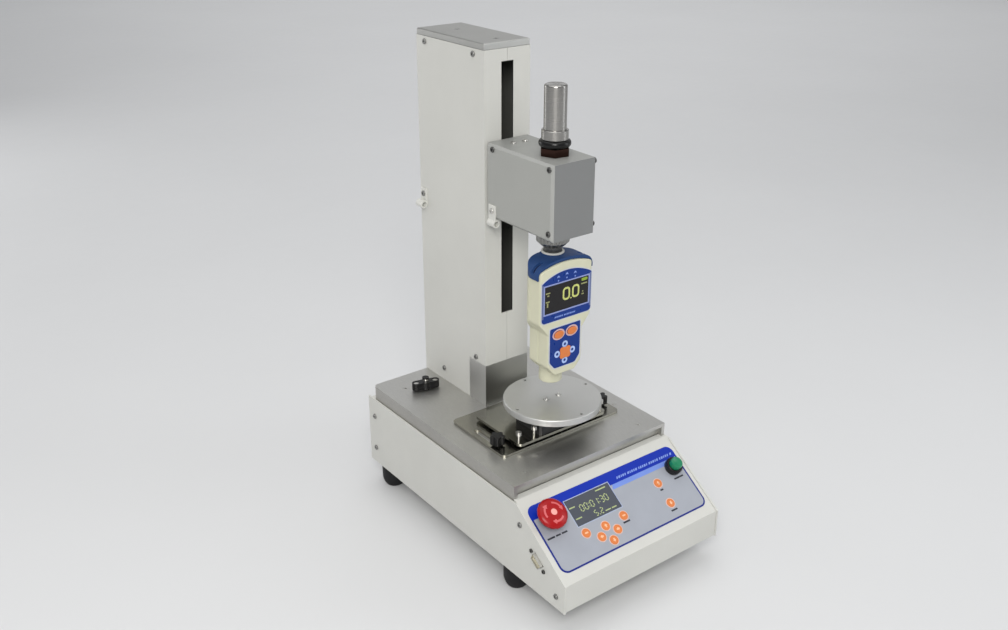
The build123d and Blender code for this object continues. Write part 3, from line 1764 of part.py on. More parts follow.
def make_clamp_knob(x):
    """Clamp knob whose stud passes through a slot of the lower plate into the base plate."""
    low = stage_top + slide_gap
    step = low + knob_collar_height
    reach = knob_radius - knob_lobe_radius
    head = lobed(x, knob_y, step, low + knob_height, reach, reach, knob_lobe_radius, knob_lobes)
    head += rod(knob_collar_radius, low, step, x, knob_y)
    stud_low = plate_top - knob_stud_depth
    return head + rod(knob_stud_radius, stud_low, low, x, knob_y)


def make_rear_knob():
    """Bar knob with a raised hub on a threaded stud at the back of the base plate."""
    low = plate_top + rear_knob_lift
    high = low + rear_knob_height
    head = rod(rear_knob_hub, low, high)
    ends = (-rear_knob_reach, rear_knob_reach)
    head += block(ends, (-rear_knob_lobe, rear_knob_lobe), (low, high))
    for end in ends:
        head += rod(rear_knob_lobe, low, high, end)
        head -= rod(rear_knob_insert, high - rear_knob_well, high + 1, end)
    post_top = high + rear_knob_post_height
    head += rod(rear_knob_post_radius, high, post_top)
    head += rod(rear_knob_cap_radius, post_top, post_top + rear_knob_cap_height)
    head += rod(knob_collar_radius, plate_top + slide_gap, low)
    head += rod(knob_stud_radius, plate_top - knob_stud_depth, low)
    return Pos(rear_knob_x, rear_knob_y) * Rot(0, 0, rear_knob_angle) * head


def make_clip(face_x, y, z, proud, drop):
    """Cable clip on a left-hand face: a tab with a loop below it, its bore along Y."""
    outer = clip_bore + clip_wall
    loop_x = face_x - proud + outer
    loop_z = z - drop
    half = clip_length / 2
    loop = rod_y(outer, y - half, y + half, loop_x, loop_z)
    tab = block((face_x - clip_wall, face_x), (y - half, y + half), (loop_z, z + clip_tab / 2))
    return loop + tab - rod_y(clip_bore, y - half - 1, y + half + 1, loop_x, loop_z)


def make_column_clip():
    """Clip near the rear edge of the column's left cover."""
    proud = 2 * (clip_bore + clip_wall)
    clip = make_clip(-column_half, column_clip_y, column_clip_z, proud, clip_drop)
    return clip - column_clip_screw(screw_hole)


def make_arm_clip():
    """Clip under the lower rear screw of the arm's left cover; its loop hangs below the arm."""
    y = arm_rear_y - arm_screw_rear
    z = arm_bottom + arm_screw_low
    clip = make_clip(-arm_width / 2, y, z, arm_clip_proud, arm_clip_drop)
    return clip - list(arm_side_spots(screw_hole))


front_shell, rear_shell, top_cap = make_durometer()

nodes = {
    "side_plates": make_side_plates(),
    "front_panel": make_front_panel(),
    "case_sheets": make_case_sheets(),
    "base_plate": make_base_plate(),
    "rubber_feet": make_feet(),
    "frame_posts": make_posts(),
    "stand_screws": make_stand_screws(),
    "panel_label": make_panel_label(),
    "electronics": make_electronics(),
    "button_bodies": make_button_bodies(),
    "serial_connector": make_serial_connector(),
    "mains_inlet": make_mains_inlet(),
    "column_frame": make_column_frame(),
    "column_covers": make_column_covers(),
    "column_cap": make_column_cap(),
    "lift_guides": make_lift_guides(),
    "lift_motor": make_lift_motor(),
    "column_cable_clip": make_column_clip(),
    "lift_carriage": make_lift_carriage(),
    "arm_frame": make_arm_frame(),
    "arm_covers": make_arm_covers(),
    "arm_screws": make_arm_screws(),
    "spindle_bushes": make_spindle_bushes(),
    "arm_cable_clip": make_arm_clip(),
    "lead_screw": make_lead_screw(),
    "spindle": make_spindle(),
    "bumper_ring": make_bumper_ring(),
    "load_weight": make_load_weight(),
    "nylon_washer": make_washer(),
    "durometer_front_shell": front_shell,
    "durometer_rear_shell": rear_shell,
    "durometer_top_cap": top_cap,
    "durometer_labels": make_durometer_labels(),
    "durometer_display": make_durometer_display(),
    "durometer_nose": make_nose(),
    "lock_nut": make_lock_nut(),
    "indenter": make_indenter(),
    "indenter_spring": make_indenter_spring(),
    "stage_plates": make_stage_plates(),
    "stage_screws": make_stage_screws(),
    "table_motor": make_table_motor(),
    "round_table": make_round_table(),
    "clamp_knob_left": make_clamp_knob(-slot_x),
    "clamp_knob_right": make_clamp_knob(slot_x),
    "rear_knob": make_rear_knob(),
    "estop_stem": make_estop_stem(),
    "estop_head": make_estop_head(),
    "start_button_cap": make_start_cap(),
    "power_rocker": make_rocker(),
}
for name, spot in duro_key_spots().items():
    nodes[name] = make_duro_key(*spot)
for name, (x, down) in key_places.items():
    nodes[name] = on_panel(x, down, make_key())

for name, shape in nodes.items():
    export_step(shape, f"parts/{name}.step")

print("nodes", len(nodes))
print("arm travel", round(-arm_down_travel, 2), round(arm_up_travel, 2))
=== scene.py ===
import json
import math

import bmesh
import bpy
from mathutils import Matrix, Vector


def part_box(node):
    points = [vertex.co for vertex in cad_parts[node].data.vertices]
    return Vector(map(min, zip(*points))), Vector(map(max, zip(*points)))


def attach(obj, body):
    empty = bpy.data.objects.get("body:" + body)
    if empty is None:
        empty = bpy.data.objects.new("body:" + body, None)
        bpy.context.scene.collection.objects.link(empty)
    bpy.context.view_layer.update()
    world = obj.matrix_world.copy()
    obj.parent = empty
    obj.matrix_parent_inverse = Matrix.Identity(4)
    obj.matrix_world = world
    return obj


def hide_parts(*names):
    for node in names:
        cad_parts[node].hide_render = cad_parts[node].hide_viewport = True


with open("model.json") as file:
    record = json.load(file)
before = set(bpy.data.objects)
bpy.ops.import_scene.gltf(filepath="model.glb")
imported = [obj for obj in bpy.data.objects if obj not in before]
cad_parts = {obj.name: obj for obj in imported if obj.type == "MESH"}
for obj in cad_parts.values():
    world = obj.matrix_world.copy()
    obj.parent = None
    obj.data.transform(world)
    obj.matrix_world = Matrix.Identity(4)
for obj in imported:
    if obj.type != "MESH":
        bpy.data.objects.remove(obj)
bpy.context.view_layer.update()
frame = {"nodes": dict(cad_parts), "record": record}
nodes = frame["nodes"]

# Lengths in this script are millimetres, but in materials and the studio they are metres
MM = 0.001
SHARP_ANGLE = 32.0
SKIN_ANGLE = 80.0
BEVEL_ANGLE = 50.0
FLAT_ANGLE = 0.6
WELD = 0.000003
IDENTITY = Matrix.Identity(4)


def box(node):
    """Lowest and highest corner of a CAD node in millimetres, to a tenth."""
    return [[round(value / MM, 1) for value in corner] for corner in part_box(node)]


def middle_y(node):
    low, high = box(node)
    return round((low[1] + high[1]) / 2, 1)


SPINDLE_Y = middle_y("nylon_washer")
STAGE_Y = middle_y("round_table")

shell_low, shell_high = box("durometer_front_shell")
FRONT, SPLIT = shell_low[1], shell_high[1]
HEAD_HALF, RIM_TOP = shell_high[0], shell_high[2]
BACK = box("durometer_rear_shell")[1][1]
cap_low, cap_high = box("durometer_top_cap")
CAP_HALF, CAP_LOW, CROWN = cap_high[0], cap_low[2], cap_high[2]


# Materials
BRUSHED_GRAIN = 1400.0
BLASTED_GRAIN = 2600.0
TURNED_GRAIN = 1500.0
ALONG_Y = (1.0, 0.12, 1.0)
FINE_ALONG_Y = (1.0, 0.05, 1.0)
SMOOTH_COAT = (1400.0, 0.00003)
PRINT_SKIN = (600.0, 0.00001)
GLASS_SKIN = (300.0, 0.00001)
CAP_SKIN = (500.0, 0.00002)
MARK_SKIN = (500.0, 0.00001)
SHELL_GRAIN = 2200.0
QUARTER_TURN = 0.25


class Shade:
    """A node material that is put together with short calls."""

    def __init__(self, name):
        self.material = bpy.data.materials.new(name)
        self.material.use_nodes = True
        self.tree = self.material.node_tree
        self.tree.nodes.clear()
        out = self.new("OutputMaterial")
        self.shader = self.new("BsdfPrincipled")
        self.link(self.shader.outputs[0], out.inputs["Surface"])
        self.place = self.new("TexCoord").outputs["Object"]

    def new(self, kind):
        return self.tree.nodes.new("ShaderNode" + kind)

    def link(self, source, target):
        self.tree.links.new(source, target)

    def fill(self, target, value):
        """Links an output to a socket, or sets the socket to a colour or a number."""
        if hasattr(value, "node"):
            self.link(value, target)
        else:
            target.default_value = (*value, 1.0) if isinstance(value, tuple) else value

    def put(self, socket, value):
        self.fill(self.shader.inputs[socket], value)

    def outputs(self, kind, source, socket, values):
        """The outputs of a new node with one socket linked to a source and others set."""
        node = self.new(kind)
        for name, value in values.items():
            node.inputs[name].default_value = value
        self.link(source, node.inputs[socket])
        return node.outputs

    def stretched(self, scale, place=(0, 0, 0)):
        values = {"Location": place, "Scale": scale}
        return self.outputs("Mapping", self.place, "Vector", values)[0]

    def noise(self, scale, detail=3.0, rough=0.5, place=None):
        values = {"Scale": scale, "Detail": detail, "Roughness": rough}
        return self.outputs("TexNoise", place or self.place, "Vector", values)["Fac"]

    def rings(self, centre, scale):
        """Turning marks round an upright line through centre, given in metres."""
        moved = self.stretched((1, 1, 0), (-centre[0], -centre[1], 0))
        length = self.new("VectorMath")
        length.operation = "LENGTH"
        self.link(moved, length.inputs[0])
        outward = self.outputs("CombineXYZ", length.outputs["Value"], 0, {})[0]
        return self.noise(scale, 4.0, 0.6, outward)

    def span(self, value, low, high):
        values = {"From Min": 0.3, "From Max": 0.7, "To Min": low, "To Max": high}
        return self.outputs("MapRange", value, "Value", values)["Result"]

    def blend(self, factor, a, b):
        node = self.new("Mix")
        node.data_type = "RGBA"
        self.link(factor, node.inputs["Factor"])
        self.fill(node.inputs[6], a)
        self.fill(node.inputs[7], b)
        return node.outputs[2]

    def bump(self, height, strength, depth):
        values = {"Strength": strength, "Distance": depth}
        return self.outputs("Bump", height, "Height", values)[0]


def paint(*channels):
    """A colour given as screen values from 0 to 255."""
    return tuple((channel / 255) ** 2.2 for channel in channels)


def tint(color, factor):
    return tuple(min(1.0, channel * factor) for channel in color)


def uneven(shade, color, vary, scale):
    slow = shade.span(shade.noise(scale, 4.0), 0, 1)
    return shade.blend(slow, tint(color, 1 - vary), tint(color, 1 + vary))


def coated(name, color, rough, peel=900.0, depth=0.00006):
    """Powder coat or paint: fine orange peel and slow changes of colour."""
    shade = Shade(name)
    shade.put("Base Color", uneven(shade, color, 0.03, 9.0))
    shade.put("Roughness", shade.span(shade.noise(60.0), rough - 0.05, rough + 0.05))
    shade.put("Normal", shade.bump(shade.noise(peel, 2.0), 0.35, depth))
    return shade.material


def bare(shade, color, grain, dark, rough):
    """Metal whose colour and roughness follow its grain."""
    base = uneven(shade, color, 0.05, 14.0)
    shade.put("Base Color", shade.blend(shade.span(grain, 0, dark), base, tint(color, 0.8)))
    shade.put("Metallic", 1.0)
    shade.put("Roughness", shade.span(grain, *rough))


def metal(name, color, rough, brush=None, rings=None):
    """Bare or anodised metal, brushed along a stretch or turned round a centre."""
    shade = Shade(name)
    if rings:
        grain = shade.rings(rings, TURNED_GRAIN)
    else:
        place = shade.stretched(brush) if brush else shade.place
        grain = shade.noise(BRUSHED_GRAIN if brush else BLASTED_GRAIN, 3.0, 0.6, place)
    bare(shade, color, grain, 0.35, (rough - 0.06, rough + 0.08))
    shade.put("Normal", shade.bump(grain, 0.3, 0.00002))
    return shade.material


def turned(name, color, rough, spread):
    """Lathe-turned metal: fine grooves round an upright axis stretch every highlight along it."""
    shade = Shade(name)
    grain = shade.noise(BRUSHED_GRAIN, 3.0, 0.6, shade.stretched((0.02, 0.02, 1.0)))
    bare(shade, color, grain, 0.3, (rough - 0.03, rough + 0.05))
    shade.put("Anisotropic", spread)
    around = shade.new("Tangent")
    around.direction_type = "RADIAL"
    around.axis = "Z"
    shade.put("Tangent", around.outputs[0])
    shade.put("Anisotropic Rotation", QUARTER_TURN)
    return shade.material


def moulded(name, color, rough, grain=1500.0, depth=0.00004, coat=0.0, gloss=0.5):
    """Moulded plastic, print or rubber with a fine skin."""
    shade = Shade(name)
    shade.put("Base Color", uneven(shade, color, 0.03, 40.0))
    shade.put("Roughness", shade.span(shade.noise(120.0), rough - 0.04, rough + 0.06))
    shade.put("Normal", shade.bump(shade.noise(grain, 2.0), 0.25, depth))
    shade.put("Specular IOR Level", gloss)
    shade.put("Coat Weight", coat)
    shade.put("Coat Roughness", 0.12)
    return shade.material


def ink(name, *channels, rough=0.36, gloss=0.5):
    """A print in a colour given as screen values."""
    return moulded(name, paint(*channels), rough, *PRINT_SKIN, gloss=gloss)


def lit(name, color, strength):
    """Characters on a display, which glow a little."""
    shade = Shade(name)
    shade.put("Base Color", uneven(shade, color, 0.06, 300.0))
    shade.put("Roughness", 0.4)
    shade.put("Emission Color", color)
    shade.put("Emission Strength", strength)
    return shade.material


white_coat = coated("white powder coat", (0.60, 0.60, 0.565), 0.5)
# A lighter copy of the cap metal, used only on the cap's front faces: a painted highlight.
anodised = metal("column cap front with painted highlight", (0.60, 0.60, 0.575), 0.42)
plate_metal = metal("base plate aluminium", (0.60, 0.595, 0.57), 0.4, ALONG_Y)
# A darker copy of the plate metal for the plate's left face: painted shade.
plate_side_painted_shade = metal("base plate left face with painted shade", (0.44, 0.43, 0.405), 0.38, ALONG_Y)
cap_metal = metal("column cap aluminium", (0.47, 0.47, 0.45), 0.42)
foot_metal = metal("column foot aluminium", (0.50, 0.50, 0.475), 0.36)
# A lighter copy of the foot metal for the foot's left face: painted light.
foot_side_painted_light = metal("column foot left face with painted light", (0.66, 0.655, 0.63), 0.4)
table_metal = metal("turned aluminium", (0.68, 0.68, 0.66), 0.42, rings=(0, STAGE_Y * MM))
# Blackened steel for screws and guides; also used as painted shade on the spindle's neck end, the neck in
# the washer and the lock nut's lower cone.
dark_steel_and_painted_shade = metal("blackened steel and painted shade", (0.13, 0.13, 0.125), 0.34)
nut_metal = metal("knurled steel", (0.26, 0.26, 0.25), 0.3)
dull_screw = metal("dull screws", (0.30, 0.30, 0.29), 0.34)
# The arm's front, top and chamfers get lit and shaded copies of its grey: painted shade on the front and
# top, a painted highlight on the chamfers.
arm_coat = coated("grey arm finish", (0.355, 0.36, 0.34), 0.4, *SMOOTH_COAT)
arm_top_painted_shade = coated("grey arm top with painted shade", (0.29, 0.295, 0.28), 0.42, *SMOOTH_COAT)
arm_edge_painted_highlight = coated("arm edge with painted highlight", (0.36, 0.365, 0.35), 0.36, *SMOOTH_COAT)
arm_front_painted_shade = coated("grey arm front with painted shade", (0.195, 0.20, 0.20), 0.4, *SMOOTH_COAT)
steel = turned("turned steel", (0.41, 0.40, 0.38), 0.24, 0.85)
stainless = metal("stainless sheet", (0.40, 0.39, 0.34), 0.2, FINE_ALONG_Y)
zinc = metal("bright screws", (0.68, 0.67, 0.64), 0.26)
bronze = metal("oiled bronze", (0.055, 0.029, 0.023), 0.22)
black_metal = coated("black metal", (0.02, 0.02, 0.022), 0.4)
# Painted shade: black inside the column and on the slot's edges, a lighter dark grey on what is seen through
# the slot.
column_inside_painted_shade = coated("painted shade inside the column", (0.006, 0.006, 0.006), 0.6)
slot_far_painted_shade = coated("painted shade seen through the slot", (0.16, 0.162, 0.15), 0.5)
rubber = moulded("black rubber", (0.010, 0.010, 0.011), 0.62, 900.0, 0.00008, gloss=0.3)
bumper_rubber = moulded("glossy black rubber", (0.004, 0.004, 0.004), 0.24, 900.0, gloss=0.35)
black_plastic = moulded("black plastic", (0.005, 0.005, 0.0055), 0.36, gloss=0.35)
cream = moulded("cream plastic", paint(206, 205, 180), 0.42, SHELL_GRAIN, gloss=0.4)
cap_blue = moulded("soft blue plastic", paint(38, 66, 112), 0.5, SHELL_GRAIN, gloss=0.25)
# A darker blue for the faces inside the cap's slots: painted shade.
cap_slot_painted_shade = moulded("painted shade in the cap slots", paint(14, 28, 58), 0.5, SHELL_GRAIN, gloss=0.2)
label_blue = ink("blue print", 22, 50, 164, rough=0.34, gloss=0.25)
line_blue = ink("dark blue line", 34, 46, 124, rough=0.34, gloss=0.25)
gauge_blue = ink("gauge blue print", 14, 52, 128, rough=0.3, gloss=0.25)
# A pale rim under the gauge's blue plates: a painted highlight along their edges.
rim_painted_highlight = ink("pale rim, a painted highlight", 196, 200, 206)
rim_print = ink("lavender print", 138, 150, 200)
pale_blue = ink("pale blue print", 168, 192, 240)
strip_print = ink("slate print", 96, 108, 150)
ring_print = ink("pale rose print", 214, 178, 176)
light_print = ink("light print", 166, 176, 200)
header_print = ink("light blue bars", 124, 150, 218)
field_print = ink("grey print", 158, 162, 171, gloss=0.35)
stripe_print = ink("light blue print", 112, 140, 216)
dark_print = ink("dark print", 40, 42, 52, rough=0.4)
halo_print = ink("peach print", 225, 192, 178, rough=0.4)
screen_dark = moulded("dark screen", (0.008, 0.007, 0.008), 0.16, *GLASS_SKIN, gloss=0.3)
slate = moulded("slate display", paint(74, 78, 87), 0.2, *GLASS_SKIN)
digit_glow = lit("display characters", paint(186, 192, 110), 0.12)
battery_glow = lit("battery sign", paint(132, 158, 44), 0.1)
dim_glow = lit("dim display characters", paint(138, 140, 92), 0.08)
lcd_glow = lit("panel characters", paint(170, 182, 128), 0.03)
nylon = moulded("white nylon", (0.66, 0.66, 0.62), 0.4)
red = moulded("red plastic", paint(160, 16, 22), 0.34, *CAP_SKIN, coat=0.12, gloss=0.3)
red_mark = moulded("rose marks on red", paint(206, 96, 98), 0.4, *MARK_SKIN)
red_spot = moulded("pale spot on red", paint(240, 164, 156), 0.4, *MARK_SKIN)
green = moulded("green plastic", paint(12, 122, 84), 0.3, *CAP_SKIN, coat=0.2)
orange = moulded("orange rubber", paint(216, 124, 68), 0.44, gloss=0.35)
orange_mark = moulded("peach marks", paint(242, 188, 150), 0.4, *MARK_SKIN)
ivory = moulded("ivory insulator", paint(196, 190, 164), 0.42)


# Pieces
def linked(name, data):
    """A new object in the scene from a mesh, curve, camera or light."""
    made = bpy.data.objects.new(name, data)
    bpy.context.scene.collection.objects.link(made)
    return made


def shown(name, mesh, body, material, slot, replaced=()):
    """A finished piece in the shared frame, riding on its body."""
    made = linked(name, mesh)
    mesh.materials.clear()
    mesh.materials.append(material)
    mesh.polygons.foreach_set("material_index", [0] * len(mesh.polygons))
    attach(made, body)
    if replaced:
        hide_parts(*replaced)
    return made


def smoothed(mesh, angle=SHARP_ANGLE):
    mesh.shade_smooth()
    mesh.set_sharp_from_angle(angle=math.radians(angle))
    return mesh


def from_bmesh(name, bm, angle=SHARP_ANGLE):
    bmesh.ops.recalc_face_normals(bm, faces=bm.faces)
    mesh = bpy.data.meshes.new(name)
    bm.to_mesh(mesh)
    bm.free()
    return smoothed(mesh, angle)


def evaluated(made):
    """The mesh of an object with its modifiers applied. The object goes."""
    bpy.context.view_layer.update()
    graph = bpy.context.evaluated_depsgraph_get()
    mesh = bpy.data.meshes.new_from_object(made.evaluated_get(graph))
    bpy.data.objects.remove(made)
    return mesh


def settled(made, angle=SHARP_ANGLE):
    return smoothed(evaluated(made), angle)


def dressed(made, *rules):
    """Gives the faces that a rule picks, by centre in millimetres and normal, another material."""
    for material, rule in rules:
        made.data.materials.append(material)
        for face in made.data.polygons:
            if rule(face.center / MM, face.normal):
                face.material_index = len(made.data.materials) - 1
    return made


def rounded(points, radii, steps=8):
    """An outline with its corners rounded."""
    made = []
    count = len(points)
    for index, point in enumerate(points):
        radius = radii[index] if hasattr(radii, "__len__") else radii
        corner = Vector(point)
        before = (Vector(points[index - 1]) - corner).normalized()
        after = (Vector(points[(index + 1) % count]) - corner).normalized()
        if radius <= 0:
            made.append(tuple(corner))
            continue
        half = before.angle(after) / 2
        start = corner + before * (radius / math.tan(half))
        end = corner + after * (radius / math.tan(half))
        centre = corner + (before + after).normalized() * (radius / math.sin(half))
        first = start - centre
        sweep = first.angle_signed(end - centre)
        for step in range(steps + 1):
            turned = Matrix.Rotation(-sweep * step / steps, 2) @ first
            made.append(tuple(centre + turned))
    return made


def box_outline(x0, x1, y0, y1, radius=0.0):
    return rounded([(x0, y0), (x1, y0), (x1, y1), (x0, y1)], radius)


def grown(x0, x1, y0, y1, edge):
    """The sides of a box moved out by an edge, or in by a negative one."""
    return x0 - edge, x1 + edge, y0 - edge, y1 + edge


def circle(x, y, radius, steps, squash=1.0):
    angles = [index * 2 * math.pi / steps for index in range(steps)]
    return [(x + radius * math.cos(angle), y + radius * squash * math.sin(angle)) for angle in angles]


def slanted(x, wide, low, high, lean):
    """A short bar that leans to the right, like a printed letter."""
    return [(x, low), (x + wide, low), (x + wide + lean, high), (x + lean, high)]


def bars(places, height):
    """Small plain bars in place of printed words: (x0, x1, middle height) for each."""
    half = height / 2
    return [box_outline(x0, x1, y - half, y + half, height * 0.2) for x0, x1, y in places]


def flat(name, loops, low, high, turn):
    """A flat sheet from closed loops in millimetres. Inner loops are holes."""
    curve = bpy.data.curves.new(name, "CURVE")
    curve.dimensions = "2D"
    curve.fill_mode = "BOTH"
    curve.extrude = (high - low) / 2 * MM
    for loop in loops:
        spline = curve.splines.new("POLY")
        spline.points.add(len(loop) - 1)
        for point, (x, y) in zip(spline.points, loop):
            point.co = (x * MM, y * MM, 0, 1)
        spline.use_cyclic_u = True
    mesh = settled(linked(name, curve))
    mesh.transform(turn @ Matrix.Translation((0, 0, (high + low) / 2 * MM)))
    return mesh


def prism(name, outline, low, high, turn):
    """A solid drawn out from one outline in millimetres."""
    bm = bmesh.new()
    count = len(outline)
    area = sum(x0 * y1 - x1 * y0 for (x0, y0), (x1, y1) in zip([outline[-1], *outline], outline))
    outline = outline if area > 0 else outline[::-1]
    ends = []
    for z in (low, high):
        ends.append([bm.verts.new(turn @ Vector((x * MM, y * MM, z * MM))) for x, y in outline])
    for index in range(count):
        after = (index + 1) % count
        bm.faces.new((ends[0][index], ends[0][after], ends[1][after], ends[1][index]))
    bm.faces.new(ends[0][::-1])
    bm.faces.new(ends[1])
    return from_bmesh(name, bm)


def lathe(name, profile, turn, steps=72, wave=None, angle=SHARP_ANGLE):
    """A turned solid from (radius, height) pairs. wave(angle, radius, height) moves the radius."""
    bm = bmesh.new()
    rows = []
    for radius, height in profile:
        if radius <= 0:
            rows.append([bm.verts.new(turn @ Vector((0, 0, height * MM)))])
            continue
        row = []
        for step in range(steps):
            around = 2 * math.pi * step / steps
            reach = wave(around, radius, height) if wave else radius
            spot = (reach * math.cos(around) * MM, reach * math.sin(around) * MM, height * MM)
            row.append(bm.verts.new(turn @ Vector(spot)))
        rows.append(row)
    for lower, upper in zip(rows, rows[1:]):
        for step in range(steps):
            after = (step + 1) % steps
            corners = [lower[step % len(lower)], lower[after % len(lower)]]
            corners += [upper[after % len(upper)], upper[step % len(upper)]]
            unique = list(dict.fromkeys(corners))
            if len(unique) > 2:
                bm.faces.new(unique)
    return from_bmesh(name, bm, angle)


def spun(name, profile, turn, body, material, slot, replaced=(), **options):
    """A turned solid as a finished piece."""
    return shown(name, lathe(name, profile, turn, **options), body, material, slot, replaced)


def joined(name, meshes):
    bm = bmesh.new()
    for mesh in meshes:
        bm.from_mesh(mesh)
    made = bpy.data.meshes.new(name)
    bm.to_mesh(made)
    bm.free()
    return smoothed(made)


def combined(base, other, operation):
    """The boolean result of two closed meshes."""
    made = linked(base.name, base)
    tool = linked(other.name, other)
    modifier = made.modifiers.new("cut", "BOOLEAN")
    modifier.operation = operation
    modifier.solver = "EXACT"
    modifier.object = tool
    mesh = settled(made)
    bpy.data.objects.remove(tool)
    return mesh


def melted(mesh, voxel, turns):
    """Closed meshes made into one skin with rounded edges."""
    made = linked(mesh.name, mesh)
    remesh = made.modifiers.new("skin", "REMESH")
    remesh.mode = "VOXEL"
    remesh.voxel_size = voxel * MM
    smooth = made.modifiers.new("round", "SMOOTH")
    smooth.factor = 0.5
    smooth.iterations = turns
    return settled(made, SKIN_ANGLE)


def softened(node, width, steps=2):
    """A CAD node again, with its sharp edges broken by a small real bevel."""
    bm = bmesh.new()
    bm.from_mesh(nodes[node].data)
    bmesh.ops.remove_doubles(bm, verts=bm.verts, dist=WELD)
    bmesh.ops.dissolve_limit(bm, angle_limit=math.radians(FLAT_ANGLE), verts=bm.verts, edges=bm.edges)
    limit = math.radians(SHARP_ANGLE)
    edges = [edge for edge in bm.edges if len(edge.link_faces) == 2 and edge.calc_face_angle(0) > limit]
    bmesh.ops.bevel(bm, geom=edges, offset=width * MM, segments=steps, profile=0.5, affect="EDGES",
                    clamp_overlap=True)
    mesh = from_bmesh(node, bm, BEVEL_ANGLE)
    for key in [key for key in mesh.attributes.keys() if "normal" in key]:
        mesh.attributes.remove(mesh.attributes[key])
    made = linked(node, mesh)
    made.modifiers.new("flat faces", "WEIGHTED_NORMAL").keep_sharp = True
    return evaluated(made)


BODIES = {node: body for body, members in frame["record"]["behaviour"]["bodies"].items() for node in members}


def edged(node, width, material, slot, *rules, steps=2):
    """A CAD node with broken edges, and other finishes where a rule asks for them."""
    made = shown(node + "_edged", softened(node, width, steps), BODIES[node], material, slot, [node])
    return dressed(made, *rules)


# Frames of reference
def framed(across, up, place):
    """A frame from its first two directions, with the third at right angles, and its place."""
    turn = Matrix((across, up, across.cross(up))).transposed().to_4x4()
    return Matrix.Translation(Vector(place) * MM) @ turn


RIGHT, UP = Vector((1, 0, 0)), Vector((0, 0, 1))
SLOPE_TOP = (0, -105.4, 122.6)
SLOPE_SHEET = 1.0
SERIAL_PLACE = (-112.4, -145.7, 70.4)
slope = Vector((0, 84.7, 58.9)).normalized()
panel_turn = framed(RIGHT, slope, SLOPE_TOP) @ Matrix.Translation((0, 0, -SLOPE_SHEET * MM))
serial_turn = framed(-slope, RIGHT.cross(slope), SERIAL_PLACE)
gauge_turn = framed(RIGHT, UP, (0, FRONT, 0))
front_turn = framed(RIGHT, UP, (0, 0, 0))
spindle_turn = Matrix.Translation((0, SPINDLE_Y * MM, 0))


def on_panel(x, down):
    return panel_turn @ Matrix.Translation((x * MM, -down * MM, 0))


def panel_box(x0, x1, down0, down1, radius=0.0):
    return box_outline(x0, x1, -down1, -down0, radius)


# Control panel, measured across from its middle and down its slope
WINDOW = (-60.0, 2.5, 22.5, 53.0)
WINDOW_GAP = 0.7
LABEL_HALF, LABEL_TOP, LABEL_FOOT, LABEL_CORNER = 105.5, 12.0, 91.3, 9.0
BAND_FOOT = 27.0
LINE_SIDE, LINE_FOOT = 1.9, 1.8
FIELD_CORNER = 7.2
LABEL_LAYER = (0.02, 0.5)
INK_LAYER = (0.48, 0.52)
STROKES = {"0": "abcdef", "1": "bc", "2": "abged", "3": "abgcd", "5": "afgcd"}


def number(text, x, y, wide, high, thick, gap):
    """Outlines of a plain segment number, its lower left corner at (x, y)."""
    loops = []
    cut = thick / 2
    for sign in text:
        if sign in ".:":
            for foot in ((y,) if sign == "." else (y + high * 0.22, y + high * 0.66)):
                loops.append(box_outline(x, x + thick, foot, foot + thick))
            x += thick + gap
            continue
        low, mid, top = y + cut, y + high / 2, y + high - cut
        left, right = x + cut, x + wide - cut
        ends = {"a": (left, top, right, top), "b": (right, mid, right, top), "c": (right, low, right, mid),
                "d": (left, low, right, low), "e": (left, low, left, mid), "f": (left, mid, left, top),
                "g": (left, mid, right, mid)}
        for key in STROKES[sign]:
            x0, y0, x1, y1 = ends[key]
            inset = cut * 1.1
            if y0 == y1:
                x0, x1 = x0 + inset, x1 - inset
                loops.append([(x0, y0), (x0 + cut, y0 - cut), (x1 - cut, y0 - cut),
                              (x1, y0), (x1 - cut, y0 + cut), (x0 + cut, y0 + cut)])
            else:
                y0, y1 = y0 + inset * 0.3, y1 - inset * 0.3
                loops.append([(x0, y0), (x0 + cut, y0 + cut), (x0 + cut, y1 - cut),
                              (x0, y1), (x0 - cut, y1 - cut), (x0 - cut, y0 + cut)])
        x += wide + gap
    return loops


def printed(name, loops, low, high, material, slot="label_blue", turn=panel_turn, body="stand",
            replaced=()):
    return shown(name, flat(name, loops, low, high, turn), body, material, slot, replaced)


def panel_label():
    """Blue sheet with its grey field, border line, window frame and light stripe."""
    window = panel_box(*WINDOW)[::-1]
    sheet = panel_box(-LABEL_HALF, LABEL_HALF, LABEL_TOP, LABEL_FOOT, LABEL_CORNER)
    printed("panel_sheet", [sheet, window], *LABEL_LAYER, label_blue, replaced=["panel_label"])
    half = LABEL_HALF - LINE_SIDE
    top, low, foot = -BAND_FOOT, -LABEL_FOOT, LINE_FOOT - LABEL_FOOT
    left, right, under = WINDOW[0] - WINDOW_GAP, WINDOW[1] + WINDOW_GAP, -WINDOW[3] - WINDOW_GAP
    field = [(-half, top), (-half, foot), (half, foot), (half, top),
             (right, top), (right, under), (left, under), (left, top)]
    field = rounded(field, (1.0, FIELD_CORNER, FIELD_CORNER, 1.0, 0, 0, 0, 0))
    printed("panel_field", [field], *INK_LAYER, field_print)
    line = [(-LABEL_HALF, top), (-LABEL_HALF, low), (LABEL_HALF, low), (LABEL_HALF, top),
            (half, top), (half, foot), (-half, foot), (-half, top)]
    line = rounded(line, (0, LABEL_CORNER, LABEL_CORNER, 0, 0, FIELD_CORNER, FIELD_CORNER, 0))
    printed("panel_line", [line], *INK_LAYER, line_blue)
    printed("window_frame", [panel_box(*grown(*WINDOW, 0.9), 0.4), window], 0.48, 0.54, light_print)
    stripe_foot = top - 5.4
    stripe = [(6.5, top), (100.0, top), (84.0, stripe_foot), (4.0, stripe_foot)]
    printed("panel_stripe", [stripe], 0.5, 0.535, stripe_print)


